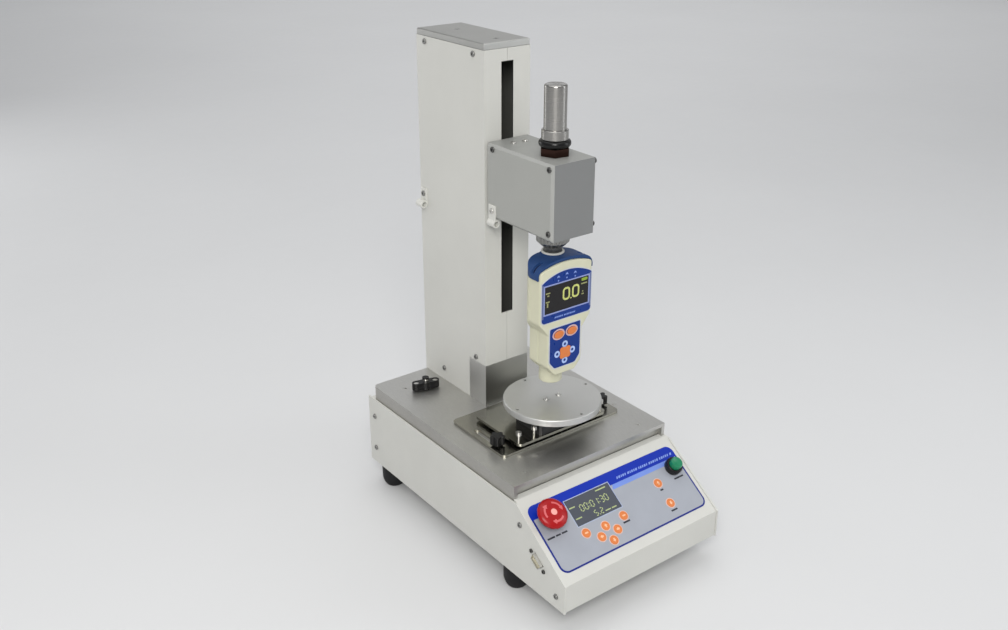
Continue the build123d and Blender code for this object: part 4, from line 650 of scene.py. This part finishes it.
def panel_prints():
    """Bars in place of the title and the captions."""
    title = []
    x = 16.0
    for index in range(26):
        wide = (1.8, 2.6, 1.4, 2.2)[index % 4]
        title.append(slanted(x, wide, -23.4, -20.8, 1.2))
        x += wide + (1.0 if (index + 1) % 5 else 2.4)
    printed("panel_rule", title, *INK_LAYER, header_print)
    captions = [(-101.0, -91.2, -51.7), (-89.8, -83.4, -51.7), (-82.0, -74.5, -51.7), (-7.8, 1.8, -69.8),
                (58.8, 63.2, -55.2), (56.2, 65.4, -80.9), (84.5, 98.4, -50.3)]
    printed("panel_captions", bars(captions, 1.9), 0.5, 0.54, dark_print)


def panel_display():
    printed("panel_display", [panel_box(*grown(*WINDOW, -0.1))], 0.05, 0.3, slate, "glass_dark")
    figures = number("00:01:30", -46.0, -40.4, 4.9, 8.4, 1.05, 1.15)
    figures += number("5.2", -33.0, -51.0, 4.6, 7.2, 1.05, 1.1)
    figures += bars([(-58.2, -50.5, -31.8), (-57.6, -49.4, -45.0), (-17.4, -3.0, -25.6),
                     (-19.0, -11.4, -49.6), (-10.0, -3.2, -49.6)], 1.3)
    printed("panel_figures", figures, 0.28, 0.33, lcd_glow, "glass_dark")


PANEL_KEYS = {
    "set_key": (-55.7, 62.4, "round"), "mode_key": (-2.6, 62.7, "round"),
    "arrow_up_key": (-29.8, 64.3, 0), "arrow_down_key": (-29.8, 81.5, 180),
    "arrow_left_key": (-41.2, 72.9, 90), "arrow_right_key": (-18.4, 72.9, -90),
    "jog_up_key": (61.2, 46.7, 0), "jog_down_key": (61.2, 72.4, 180),
}


def mark(kind):
    """The mark on a key: an arrow at an angle, or a short bar."""
    if kind == "round":
        return [box_outline(-2.2, 2.2, -0.9, 0.9, 0.8)]
    cos, sin = math.cos(math.radians(kind)), math.sin(math.radians(kind))
    points = [(0, 2.4), (-2.1, -0.1), (-0.9, -0.1), (-0.9, -2.0), (0.9, -2.0), (0.9, -0.1), (2.1, -0.1)]
    return [[(x * cos - y * sin, x * sin + y * cos) for x, y in points]]


def panel_keys():
    """Rubber domes on their stems, each with a mark and a pale ring round it."""
    dome = [(0, -7.7), (2.0, -7.7), (2.0, 0.5), (4.5, 0.5), (5.0, 0.75), (5.0, 1.05), (4.8, 1.28),
            (4.3, 1.42), (3.0, 1.52), (1.5, 1.57), (0, 1.58)]
    halos = []
    for name, (x, down, kind) in PANEL_KEYS.items():
        place = on_panel(x, down)
        spun(name + "_dome", dome, place, name, orange, "orange", [name], steps=48)
        printed(name + "_mark", mark(kind), 1.5, 1.62, orange_mark, "orange", place, name)
        halos += [circle(x, -down, 5.9, 48), circle(x, -down, 4.2, 32)[::-1]]
    printed("key_halos", halos, 0.5, 0.56, halo_print, "orange")


def dome_height(profile, radius):
    """Height of a turned profile's upper side at one radius."""
    for (r0, h0), (r1, h1) in zip(profile, profile[1:]):
        if h1 >= h0 and r1 <= radius <= r0:
            share = (r0 - radius) / (r0 - r1) if r0 > r1 else 0
            return h0 + (h1 - h0) * share
    return profile[-1][1]


def arc_mark(name, profile, inner, outer, start, end, head, turn):
    """A curved arrow that lies on a turned top."""
    bm = bmesh.new()
    steps = 22
    lift = 0.06
    rows = []
    for step in range(steps + 1):
        around = math.radians(start + (end - start) * step / steps)
        left = (end - start) * (1 - step / steps)
        middle = (inner + outer) / 2
        half = (outer - inner) / 2
        if abs(left) < head:
            half = (outer - inner) * 1.3 * abs(left) / head
        row = []
        for part in range(5):
            radius = middle + half * (part / 2 - 1)
            height = dome_height(profile, radius) + lift
            spot = (radius * math.cos(around) * MM, radius * math.sin(around) * MM, height * MM)
            row.append(bm.verts.new(turn @ Vector(spot)))
        rows.append(row)
    for lower, upper in zip(rows, rows[1:]):
        for a, b, c, d in zip(lower, lower[1:], upper[1:], upper):
            bm.faces.new((a, b, c, d))
    bmesh.ops.remove_doubles(bm, verts=bm.verts, dist=0.00001)
    made = linked(name, from_bmesh(name, bm))
    made.modifiers.new("thickness", "SOLIDIFY").thickness = 2 * lift * MM
    return settled(made)


STOP_PLACE = (-87.6, 31.7)
GRIP_COUNT, GRIP_DEPTH = 18, 0.28
START_PLACE = (90.6, 37.4)
RIB_COUNT, RIB_DEPTH = 30, 0.16


def emergency_stop():
    """Mushroom head with grips round its side, three curved arrows and a spot on top."""
    place = on_panel(*STOP_PLACE)
    top = [(17.0, 13.9), (16.5, 15.0), (15.3, 16.1), (13.4, 16.95), (11.0, 17.55), (7.8, 17.9), (4.0, 17.98),
           (0, 18.0)]
    profile = [(0, 8.8), (11.0, 8.8), (13.6, 9.2), (15.6, 10.2), (16.6, 11.4), (17.0, 12.8), *top]

    def grips(angle, radius, height):
        share = max(0.0, min(1.0, (radius - 14.0) / 2.5)) * max(0.0, min(1.0, (16.0 - height) / 2.0))
        return radius - GRIP_DEPTH * share * (0.5 - 0.5 * math.cos(GRIP_COUNT * angle)) ** 2

    spun("stop_mushroom", profile, place, "estop_head", red, "red", ["estop_head"],
         steps=144, wave=grips, angle=60)
    for index in range(3):
        middle = 150 + 120 * index
        curved = arc_mark(f"stop_arrow_{index}", top, 9.4, 11.5, middle + 44, middle - 40, 24, place)
        shown(f"stop_arrow_{index}", curved, "estop_head", red_mark, "red")
    spot = [(0, 17.5), (3.5, 17.5), (3.5, 18.0), (3.1, 18.14), (0, 18.2)]
    spun("stop_spot", spot, place, "estop_head", red_spot, "red", steps=40)


def start_button():
    """Ribbed black sleeve and green cap with a raised rim."""
    place = on_panel(*START_PLACE)
    edged("button_bodies", 0.25, black_plastic, "dark_plastic")

    def ribs(angle, radius, height):
        return radius - (RIB_DEPTH * (0.5 + 0.5 * math.cos(RIB_COUNT * angle)) if radius > 9.85 else 0)

    sleeve = [(9.6, 1.4), (9.8, 1.2), (9.98, 1.6), (9.98, 7.2), (9.8, 7.8), (9.6, 7.6), (9.6, 1.4)]
    spun("start_sleeve", sleeve, place, "stand", black_plastic, "dark_plastic", steps=180, wave=ribs)
    cap = [(0, 4.6), (6.7, 4.6), (7.05, 5.0), (7.05, 13.1), (6.75, 13.75), (6.2, 14.0), (5.7, 13.95),
           (5.4, 13.8), (0, 13.8)]
    spun("start_cap", cap, place, "start_button_cap", green, "green", ["start_button_cap"])


SERIAL_HALF, SERIAL_RISE, SERIAL_SLANT, SERIAL_WALL = 8.45, 4.2, 1.5, 0.55
PIN_PITCH, PIN_RADIUS = 2.77, 0.62
JACK_PITCH, JACK_RADIUS, JACK_BORE, JACK_HEIGHT = 25.0, 2.4, 1.3, 1.6


def serial_outline(inset, corner):
    """The shell's outline, wider at the top than at the foot."""
    half, rise = SERIAL_HALF - inset, SERIAL_RISE - inset
    foot = half - SERIAL_SLANT
    return rounded([(-half, rise), (-foot, -rise), (foot, -rise), (half, rise)], corner, 6)


def serial_connector():
    """Metal shell, insert with nine pin holes and two hexagon jacks on the left side plate."""
    hollow = serial_outline(SERIAL_WALL, 1.0)[::-1]
    shell = flat("serial_shell", [serial_outline(0, 1.5), hollow], -2.4, 3.4, serial_turn)
    flange = prism("serial_flange", box_outline(-15.4, 15.4, -6.25, 6.25, 1.0), -3.0, -2.4, serial_turn)
    shell = joined("serial_shell", [shell, flange])
    shown("serial_shell", shell, "stand", zinc, "steel", ["serial_connector"])
    pins = []
    for row, count in ((0.5, 5), (-0.5, 4)):
        for index in range(count):
            x = (index - (count - 1) / 2) * PIN_PITCH
            pins.append(circle(x, row * PIN_PITCH, PIN_RADIUS, 16)[::-1])
    filling = serial_outline(SERIAL_WALL + 0.01, 1.0)
    printed("serial_insert", [filling, *pins], -0.6, 0.9, ivory, "cream", serial_turn)
    core = prism("serial_core", filling, -10.0, -0.6, serial_turn)
    shown("serial_core", core, "stand", black_plastic, "dark_plastic")
    for side, end in ((-1, "low"), (1, "high")):
        name = "serial_jack_" + end
        x = side * JACK_PITCH / 2
        ring = [circle(x, 0, JACK_RADIUS, 6), circle(x, 0, JACK_BORE, 24)[::-1]]
        jack = flat(name, ring, 0.0, JACK_HEIGHT, serial_turn)
        place = serial_turn @ Matrix.Translation((x * MM, 0, 0))
        shank = lathe("shank", [(0, -2.0), (JACK_BORE, -2.0), (JACK_BORE, 0.5), (0, 0.5)], place, 24)
        shown(name, joined(name, [jack, shank]), "stand", dark_steel_and_painted_shade, "steel")


panel_label()
panel_prints()
panel_display()
panel_keys()
emergency_stop()
start_button()
serial_connector()


# Gauge
GRIP_HALF = 24.2
HEAD_ROUND, GRIP_ROUND, CAP_ROUND = 18, 3, 23
FIT = 0.1


def arch(half, low, side, top, corner, foot=0.0):
    """An outline with straight sides, rounded shoulders and an arched top."""
    rise = top - side
    radius = (half * half + rise * rise) / (2 * rise)
    middle = top - radius
    across = half - corner
    up = math.sqrt((radius - corner) ** 2 - across ** 2)
    meet = math.atan2(up, across)
    right = [(across + corner * math.cos(meet * i / 8), middle + up + corner * math.sin(meet * i / 8))
             for i in range(9)]
    steps = 36
    turn = (math.pi - 2 * meet) / steps
    over = [(radius * math.cos(meet + turn * i), middle + radius * math.sin(meet + turn * i))
            for i in range(1, steps)]
    points = [(-half, low), (half, low), *right, *over, *[(-x, z) for x, z in right[::-1]]]
    return rounded(points, [foot, foot] + [0] * (len(points) - 2), 6)


def plan(half, back_radius):
    """The gauge's outline from above, to be drawn upwards."""
    points = [(-half, FRONT), (half, FRONT), (half, BACK), (-half, BACK)]
    return rounded(points, (3.0, 3.0, back_radius, back_radius), 14)


def front_solid(name, outline, y0, y1):
    """A solid from an outline seen from the front, from y0 back to y1."""
    return prism(name, outline, -y1, -y0, front_turn)


def trimmed(solid, half, back_radius, low, high):
    """A front solid cut to the gauge's outline from above."""
    outline = plan(half, back_radius)
    return combined(solid, prism(solid.name + " plan", outline, low, high, IDENTITY), "INTERSECT")


def gauge_form(y0, y1):
    """The gauge's closed form between two depths: wide head, tapering waist, grip with a cut chin."""
    head = [(-HEAD_HALF, 332), (-HEAD_HALF, 280.8), (-23.4, 265), (23.4, 265), (HEAD_HALF, 280.8),
            (HEAD_HALF, 332)]
    head = rounded(head[::-1], (0, 7, 6, 6, 7, 0), 5)
    upper = trimmed(front_solid("head", head, y0, y1), HEAD_HALF, HEAD_ROUND, 255, 345)
    grip = [(-GRIP_HALF, 281), (GRIP_HALF, 281), (GRIP_HALF, 227.5), (13.5, 216), (-13.5, 216),
            (-GRIP_HALF, 227.5)]
    grip = rounded(grip, (0, 0, 4, 3, 3, 4), 5)
    lower = trimmed(front_solid("grip", grip, y0, y1), GRIP_HALF, GRIP_ROUND, 210, 290)
    return upper, lower


def front_shell():
    """Front half of the gauge with the arched rim round its face."""
    upper, lower = gauge_form(FRONT, SPLIT)
    rim = front_solid("rim", arch(HEAD_HALF, 325, 340.0, RIM_TOP, 5.0), FRONT, FRONT + 6.0)
    rim = trimmed(rim, HEAD_HALF, HEAD_ROUND, 300, 350)
    mesh = melted(joined("gauge_front", [upper, lower, rim]), 0.7, 4)
    shown("gauge_front", mesh, "spindle", cream, "cream", ["durometer_front_shell"])


def rear_shell():
    """Rear half behind the seam, with two finger hollows in each side."""
    whole = joined("rear", gauge_form(SPLIT + 0.15, BACK))
    for side in (-1, 1):
        for middle, radius, depth in ((318.0, 8.5, 2.4), (296.5, 9.5, 2.6)):
            x = side * (HEAD_HALF + radius - depth)
            hollow = front_solid("hollow", circle(x, middle, radius, 32), SPLIT + 3.0, BACK + 2.0)
            whole = combined(whole, hollow, "DIFFERENCE")
    mesh = melted(whole, 0.7, 5)
    shown("gauge_rear", mesh, "spindle", cream, "cream", ["durometer_rear_shell"])


def top_cap():
    """Arched blue cap round the rim, with a slot across each shoulder, darkened with painted shade."""
    slot_x, (slot_front, slot_back) = 24.5, (-41.0, -36.2)
    form = front_solid("cap", arch(CAP_HALF, CAP_LOW, 343.6, CROWN, 12.5), FRONT + 2.4, BACK)
    form = trimmed(form, CAP_HALF, CAP_ROUND, 325, 355)
    hood = arch(HEAD_HALF + FIT, 325.0, 340.0, RIM_TOP + FIT, 5.0)
    form = combined(form, front_solid("hood", hood, FRONT - 3, FRONT + 6.2), "DIFFERENCE")
    core = front_solid("core", arch(HEAD_HALF - FIT, 320.0, 341.1, CROWN - 2.5, 10.0), FRONT, BACK)
    for side in (-1, 1):
        ends = sorted((side * slot_x, side * 42))
        slot = prism("slot", box_outline(*ends, slot_front, slot_back), 338, 356, IDENTITY)
        form = combined(form, combined(slot, core, "DIFFERENCE"), "DIFFERENCE")
    collar = lathe("collar", [(0, 344), (12.6, 344), (12.6, CROWN), (0, CROWN)], spindle_turn, 64)
    mesh = melted(joined("gauge_cap", [form, collar]), 0.5, 3)
    cap = shown("gauge_cap", mesh, "spindle", cap_blue, "blue_soft", ["durometer_top_cap"])

    def in_slot(spot, normal):
        across = abs(spot.x) > slot_x + 0.7 and spot.z > 338.5
        return across and slot_front + 0.4 < spot.y < slot_back - 0.4

    # The faces inside each slot get painted shade.
    dressed(cap, (cap_slot_painted_shade, in_slot))


def washer():
    """Thin white washer on the cap, with the end of the neck standing in it, painted dark as shade."""
    crown_turn = spindle_turn @ Matrix.Translation((0, 0, CROWN * MM))
    ring = [(10.2, 0), (12.2, 0), (12.6, 0.4), (12.6, 1.5), (12.2, 2.0), (10.4, 2.0), (10.2, 1.8), (10.2, 0)]
    spun("washer_ring", ring, crown_turn, "spindle", nylon, "nylon", ["nylon_washer"])
    neck = [(7.0, 0), (10.0, 0), (10.0, 3.8), (9.7, 3.9), (7.0, 3.9), (7.0, 0)]
    spun("washer_neck", neck, crown_turn, "spindle", dark_steel_and_painted_shade, "steel", ["nylon_washer"])


SCREEN = (-30.5, 30.5, 292.7, 324.3)
STRIP_END = 34.2
FIGURE_FOOT = 303.0
FACE_INK = (0.48, 0.53)
SCREEN_INK = (0.28, 0.33)
OVAL_PLACES = {"durometer_key_left": -10.25, "durometer_key_right": 8.25}
OVAL_Z = 264.8
ROUND_PLACE = (-1.0, 241.2)
RIM_LAYER = (-0.2, 0.32)
RING_LAYER = (0.48, 0.56)


def on_gauge(name, loops, low, high, material, slot="label_blue", replaced=()):
    return printed(name, loops, low, high, material, slot, gauge_turn, "spindle", replaced)


def faceplate():
    """Blue plate with a pale rim that is a painted highlight along its edge, the frame of the display and a
    strip on each side of it.
    """
    screen = box_outline(*grown(*SCREEN, 1.4), 0.5)[::-1]
    rim = arch(35.3, 281.2, 328.8, 338.9, 2.4, 5.0)
    on_gauge("face_rim", [rim, screen], *RIM_LAYER, rim_painted_highlight)
    plate = arch(34.3, 282.2, 328.2, 337.8, 1.8, 4.2)
    on_gauge("face_plate", [plate, screen], 0.0, 0.5, gauge_blue, replaced=["durometer_labels"])
    border = [box_outline(*grown(*SCREEN, 1.5), 0.5), box_outline(*SCREEN, 0.3)[::-1]]
    on_gauge("screen_frame", border, 0.0, 0.55, rim_print)
    left, right = SCREEN[0] - 1.6, SCREEN[1] + 1.6
    strips = [box_outline(*ends, 288.0, 327.0, 0.3) for ends in ((-STRIP_END, left), (right, STRIP_END))]
    on_gauge("face_strips", strips, *FACE_INK, strip_print)


def face_marks():
    """Three plain signs with a dot below each, and slanted bars in place of a word."""
    marks = []
    for x in (-12.1, -0.5, 11.1):
        z = 333.4 - abs(x) * 0.09
        marks.append([(x - 2.2, z - 1.2), (x, z - 0.5), (x + 2.2, z - 1.2), (x + 0.7, z + 1.3),
                      (x - 0.7, z + 1.3)])
        marks.append(circle(x, z - 4.4, 0.9, 16))
    for x, wide in ((-16.6, 1.5), (-14.4, 1.0), (-12.8, 1.6), (-10.5, 1.1), (-8.8, 1.5), (-6.6, 1.3),
                    (-3.6, 1.6), (-1.4, 1.1), (0.4, 1.5), (2.6, 1.2), (4.5, 1.6), (6.8, 1.0), (8.5, 1.5),
                    (10.7, 1.3)):
        marks.append(slanted(x, wide, 285.3, 287.1, 0.5))
    on_gauge("face_marks", marks, *FACE_INK, header_print)


def nought(x, z, wide, high):
    inner = box_outline(x + 2.1, x + wide - 2.1, z + 2.2, z + high - 2.2, 2.4)[::-1]
    return [box_outline(x, x + wide, z, z + high, 4.2), inner]


def gauge_display():
    """Dark glass with a plain reading, a battery sign and dim bars."""
    glass = box_outline(*grown(*SCREEN, -0.05), 0.3)
    on_gauge("screen_glass", [glass], -2.0, 0.3, screen_dark, "glass_dark", ["durometer_display"])
    figures = nought(-5.6, FIGURE_FOOT, 10.2, 14.8) + nought(7.4, FIGURE_FOOT, 10.2, 14.8)
    figures += [box_outline(5.2, 6.8, FIGURE_FOOT, FIGURE_FOOT + 1.6, 0.4)]
    on_gauge("screen_figures", figures, *SCREEN_INK, digit_glow, "glass_dark")
    battery = [box_outline(20.6, 28.2, 319.6, 322.8, 0.5), box_outline(28.5, 29.2, 320.4, 322.0)]
    on_gauge("screen_battery", battery, *SCREEN_INK, battery_glow, "glass_dark")
    dim = bars([(-29.2, -23.0, 316.5), (-27.0, -24.2, 313.6), (-29.0, -23.6, 306.6), (21.0, 24.2, 304.4),
                (21.8, 23.4, 307.4), (20.0, 28.6, 316.4)], 1.5)
    dim += [box_outline(-27.4, -25.4, 300.4, 305.4, 0.4)]
    on_gauge("screen_marks", dim, 0.28, 0.32, dim_glow, "glass_dark")


def oval_ring(x, z, across, up, wide):
    """A ring of even width round an oval, from its two radii."""
    outer = circle(x, z, across, 48, up / across)
    inner = circle(x, z, across - wide, 48, (up - wide) / (across - wide))
    return [outer, inner[::-1]]


def keypad():
    """Blue sheet with cut lower corners, a ring round each oval key and four eyes round the round key."""
    left, right, low, high = -22.3, 20.3, 224.9, 273.4
    cut = 8.5
    points = [(left, high), (left, low + cut), (left + cut * 0.8, low), (right - cut * 0.8, low),
              (right, low + cut), (right, high)]
    across, up = (left + right) / 2, (low + high) / 2
    rim = [(across + (x - across) * 1.06, up + (z - up) * 1.05) for x, z in points]
    # A pale rim round the keypad sheet: a painted highlight along its edge.
    on_gauge("pad_rim", [rounded(rim, (2.4, 6, 5, 5, 6, 1.6))], *RIM_LAYER, rim_painted_highlight)
    sheet = rounded(points, (2.0, 5.5, 4.5, 4.5, 5.5, 1.2))
    on_gauge("pad_sheet", [sheet], 0.0, 0.5, gauge_blue, replaced=["durometer_labels"])
    rings = []
    for x in OVAL_PLACES.values():
        rings += oval_ring(x, OVAL_Z, 8.6, 6.4, 1.7)
    on_gauge("pad_rings", rings, *RING_LAYER, ring_print)
    eyes = []
    for across, up in ((0, 9.7), (0, -9.7), (-10.7, 0), (10.7, 0)):
        x, z = ROUND_PLACE[0] + across, ROUND_PLACE[1] + up
        eyes += [circle(x, z, 4.0, 32), circle(x, z, 1.7, 24)[::-1]]
    on_gauge("pad_eyes", eyes, *RING_LAYER, pale_blue)


def key_place(x, z, across, up):
    """The frame of a gauge key whose dome is turned with a radius of 1."""
    return gauge_turn @ Matrix.Translation((x * MM, z * MM, 0)) @ Matrix.Diagonal((across, up, 1, 1))


def gauge_keys():
    """Domes of the two oval keys, and of the round key with its four soft lobes."""
    dome = [(0, -3.0), (0.36, -3.0), (0.36, 1.1), (0.95, 1.1), (1.0, 1.2), (1.0, 1.35), (0.95, 1.55),
            (0.8, 1.7), (0.5, 1.79), (0, 1.8)]
    for name, x in OVAL_PLACES.items():
        place = key_place(x, OVAL_Z, 6.7, 4.5)
        spun(name + "_dome", dome, place, name, orange, "orange", [name], steps=56)

    def lobes(angle, radius, height):
        return radius * (0.9 - 0.14 * math.cos(4 * angle))

    name = "durometer_round_key"
    place = key_place(*ROUND_PLACE, 9.0, 8.2)
    spun("durometer_round_dome", dome, place, name, orange, "orange", [name], wave=lobes)


def nose():
    """Turned nose with its bore, and the flat presser foot in its mouth."""
    profile = [(9.05, 198.5), (12.3, 198.5), (13.0, 199.3), (13.0, 208.5), (12.4, 211.5), (13.2, 214.0),
               (13.8, 216.2), (9.0, 216.4), (9.0, 223.8), (2.7, 223.9), (2.7, 220.0), (6.0, 219.9),
               (6.0, 201.6), (9.05, 201.5), (9.05, 198.5)]
    spun("gauge_nose", profile, spindle_turn, "spindle", cream, "cream", ["durometer_nose"])
    foot = [(1.05, 198.5), (8.6, 198.5), (9.0, 198.9), (9.0, 201.5), (1.05, 201.5), (1.05, 198.5)]
    spun("presser_foot", foot, spindle_turn, "spindle", steel, "cream", ["durometer_nose"])


front_shell()
rear_shell()
top_cap()
washer()
faceplate()
gauge_display()
face_marks()
keypad()
gauge_keys()
nose()


# Rules: each says whether a face, by its centre and normal, gets another finish
FACING = 0.9
cover_low, cover_high = box("column_covers")
arm_low, arm_high = box("arm_covers")
plate_low = box("base_plate")[0]


# The inside of the column, the slot's edges, the slot's far side and the spine are painted dark as shade.
def inside_column(spot, normal):
    """The inner sides of the sheets and the two edges of the slot."""
    slot = abs(spot.x) < 8.3 and spot.y < cover_low[1] + 1.7 and 251 < spot.z < 542
    within = cover_low[1] + 1.3 < spot.y < cover_high[1] - 1.3
    return slot and abs(normal.x) > FACING or within and abs(spot.x) < cover_high[0] - 1.2


def spine(spot, normal):
    return 205 < spot.z < 545 and 54.6 < spot.y < 182


def far_side(spot, normal):
    return inside_column(spot, normal) and spot.x > 0 and normal.x < -FACING and spot.y > 57


def plate_screw(spot, normal):
    return 124 < spot.z < 137 and abs(spot.x) < 96


def top_screw(spot, normal):
    return abs(spot.x) < 12 and spot.z > 450


def clip_screw(spot, normal):
    return spot.x < -29.7 and spot.y > 36 and spot.z < 390


# The next three rules pick the arm faces for painted shade on the front and top and a painted highlight on
# the chamfers.
def arm_front(spot, normal):
    return normal.y < -FACING and spot.y < arm_low[1] + 1


def arm_roof(spot, normal):
    return normal.z > FACING and spot.z > arm_high[2] - 0.9


def chamfer(spot, normal):
    return 0.45 < abs(normal.x) < FACING


def plate_edge(spot, normal):
    return normal.x < -FACING and spot.x < plate_low[0] + 1


def foot_left(spot, normal):
    return normal.x < -FACING and spot.x < -25 and spot.z < 200


def cap_front(spot, normal):
    return normal.y < -0.3


def low_screw(spot, normal):
    return spot.z < 143


def inlet_pin(spot, normal):
    return 173.8 < spot.y < 184.3 and abs(spot.x + 62) < 8.2 and 70.4 < spot.z < 80.6


# The spindle's neck end, low by the washer, gets painted shade.
def neck_end(spot, normal):
    return 350 < spot.z < 360


# The lock nut's lower cone, under the knurled ring, gets painted shade.
def lower_cone(spot, normal):
    return spot.z < 361.5


# CAD nodes shown again with the small broken edges of the real sheet and plate
for node, width in (("side_plates", 0.8), ("front_panel", 0.5), ("case_sheets", 0.3)):
    edged(node, width, white_coat, "powder_white")
# Painted shade inside the column and on the slot's edges, and a lighter painted shade on the far side of the
# slot and on the spine in the column frame.
edged("column_covers", 0.35, white_coat, "powder_white", (column_inside_painted_shade, inside_column),
      (slot_far_painted_shade, far_side))
# The plate's left face gets painted shade.
edged("base_plate", 0.7, plate_metal, "anodised", (plate_side_painted_shade, plate_edge))
# The foot's left face gets painted light.
edged("column_frame", 1.1, foot_metal, "anodised", (slot_far_painted_shade, spine), (foot_side_painted_light, foot_left))
# The cap's front faces get a painted highlight.
edged("column_cap", 0.9, cap_metal, "anodised", (anodised, cap_front))
# The arm gets painted shade on its front and top and a painted highlight on its chamfers.
edged("arm_frame", 0.3, arm_coat, "anodised", (arm_front_painted_shade, arm_front), (arm_top_painted_shade, arm_roof))
edged("arm_covers", 0.3, arm_coat, "anodised", (arm_front_painted_shade, arm_front), (arm_top_painted_shade, arm_roof),
      (arm_edge_painted_highlight, chamfer))
edged("stage_plates", 0.25, stainless, "steel")
edged("round_table", 0.45, table_metal, "anodised")
edged("stand_screws", 0.2, dull_screw, "steel", (plate_metal, plate_screw), (nut_metal, top_screw))
edged("arm_screws", 0.2, dark_steel_and_painted_shade, "steel", (zinc, top_screw), (zinc, clip_screw))
for part in ("arm", "column"):
    edged(part + "_cable_clip", 0.5, nylon, "nylon", steps=3)
edged("stage_screws", 0.15, zinc, "steel", (dull_screw, low_screw))
for side in ("left", "right"):
    edged("clamp_knob_" + side, 0.5, black_plastic, "dark_plastic")
edged("rubber_feet", 0.8, rubber, "rubber")
# Painted shade on the lock nut's lower cone.
edged("lock_nut", 0.3, nut_metal, "steel", (dark_steel_and_painted_shade, lower_cone))
# The spindle's neck end gets painted shade.
edged("spindle", 0.2, steel, "steel", (dark_steel_and_painted_shade, neck_end))
edged("bumper_ring", 0.6, bumper_rubber, "rubber")
edged("spindle_bushes", 0.4, bronze, "bronze")
edged("mains_inlet", 0.35, black_plastic, "dark_plastic", (zinc, inlet_pin))
edged("power_rocker", 0.3, black_plastic, "dark_plastic")


def rear_knob():
    """Black bar knob with light wells in its ends and a bright post with a black cap."""
    middle = Vector((-63.3, 134.9))
    turn = Matrix.Rotation(math.radians(-14), 2)
    wells = [middle + turn @ Vector((side * 12.0, 0)) for side in (-1, 1)]

    def well(spot, normal):
        low = normal.z > FACING and spot.z < 147.0
        return low and min((spot.xy - place).length for place in wells) < 3.3

    def post(spot, normal):
        return 147.3 < spot.z < 150.55 and (spot.xy - middle).length < 3.65

    edged("rear_knob", 0.45, black_plastic, "dark_plastic", (zinc, well), (zinc, post))


rear_knob()


# Plain finishes for the nodes that stay as they are
plain = {
    steel: ["load_weight", "indenter", "indenter_spring"],
    dark_steel_and_painted_shade: ["lift_guides", "lead_screw", "lift_carriage"],
    zinc: ["frame_posts"],
    black_metal: ["lift_motor", "table_motor"],
    black_plastic: ["electronics", "estop_stem"],
}
for material, names in plain.items():
    for name in names:
        mesh = nodes[name].data
        mesh.materials.clear()
        mesh.materials.append(material)


# Camera, fitted to the photo's straight edges. Focal length and shifts are in pixels of the photo
CAMERA_PLACE = (-697.4, -857.8, 764.8)
CAMERA_TARGET = (0.1, 47.4, 274.4)
CAMERA_ROLL = 0.2
IMAGE_WIDTH = 1008
FOCAL_LENGTH = 1083.0
SHIFT_X, SHIFT_Y = -6.8, -19.7
SENSOR_WIDTH = 36.0


def aimed(place, target):
    """The turn that points a camera or light from one place to another."""
    return (Vector(target) - Vector(place)).to_track_quat("-Z", "Y")


def camera():
    data = bpy.data.cameras.new("camera")
    data.sensor_width = SENSOR_WIDTH
    data.lens = FOCAL_LENGTH / IMAGE_WIDTH * SENSOR_WIDTH
    data.shift_x = SHIFT_X / IMAGE_WIDTH
    data.shift_y = SHIFT_Y / IMAGE_WIDTH
    data.clip_start = 0.05
    data.clip_end = 60.0
    made = linked("camera", data)
    place = Vector(CAMERA_PLACE) * MM
    turn = aimed(place, Vector(CAMERA_TARGET) * MM).to_matrix().to_4x4()
    roll = Matrix.Rotation(math.radians(CAMERA_ROLL), 4, "Z")
    made.matrix_world = Matrix.Translation(place) @ turn @ roll
    bpy.context.scene.camera = made


# Studio
def light(name, place, target, size, power, color=(1, 1, 1)):
    data = bpy.data.lights.new(name, "AREA")
    data.shape = "RECTANGLE"
    data.size, data.size_y = size
    data.energy = power
    data.color = color
    made = linked(name, data)
    made.location = place
    made.rotation_euler = aimed(place, target).to_euler()
    made.visible_camera = False


def studio():
    """Grey surroundings, soft lights and a pale floor."""
    world = bpy.data.worlds.new("studio")
    world.use_nodes = True
    background = world.node_tree.nodes["Background"]
    background.inputs["Color"].default_value = (0.80, 0.81, 0.83, 1)
    background.inputs["Strength"].default_value = 0.45
    bpy.context.scene.world = world
    middle = (0, 0.02, 0.28)
    light("key", (-1.3, -1.5, 1.7), middle, (1.0, 1.0), 36, (1.0, 0.98, 0.95))
    light("fill", (1.5, -1.2, 0.9), middle, (0.7, 1.4), 6.2, (0.94, 0.97, 1.0))
    light("rear", (-0.9, 2.3, 0.6), middle, (0.9, 0.9), 6)
    light("top", (0.1, 0.3, 2.2), middle, (1.6, 1.6), 10)
    light("backdrop", (2.7, 3.2, 1.1), (2.7, 3.2, 0), (4.0, 4.0), 18)
    daylight = bpy.data.lights.new("daylight", "SUN")
    daylight.energy = 0.5
    daylight.angle = math.radians(90)
    linked("daylight", daylight)
    mesh = bpy.data.meshes.new("floor")
    reach = 40.0
    corners = [(x, y, 0) for x, y in box_outline(-reach, reach, -reach, reach)]
    mesh.from_pydata(corners, [], [(0, 1, 2, 3)])
    floor = linked("floor", mesh)
    shade = Shade("pale floor")
    shade.put("Base Color", shade.blend(shade.noise(2.0), (0.66, 0.665, 0.67), (0.70, 0.705, 0.71)))
    shade.put("Roughness", shade.span(shade.noise(30.0), 0.55, 0.65))
    mesh.materials.append(shade.material)
    bpy.context.scene.view_settings.view_transform = "Standard"


camera()
studio()
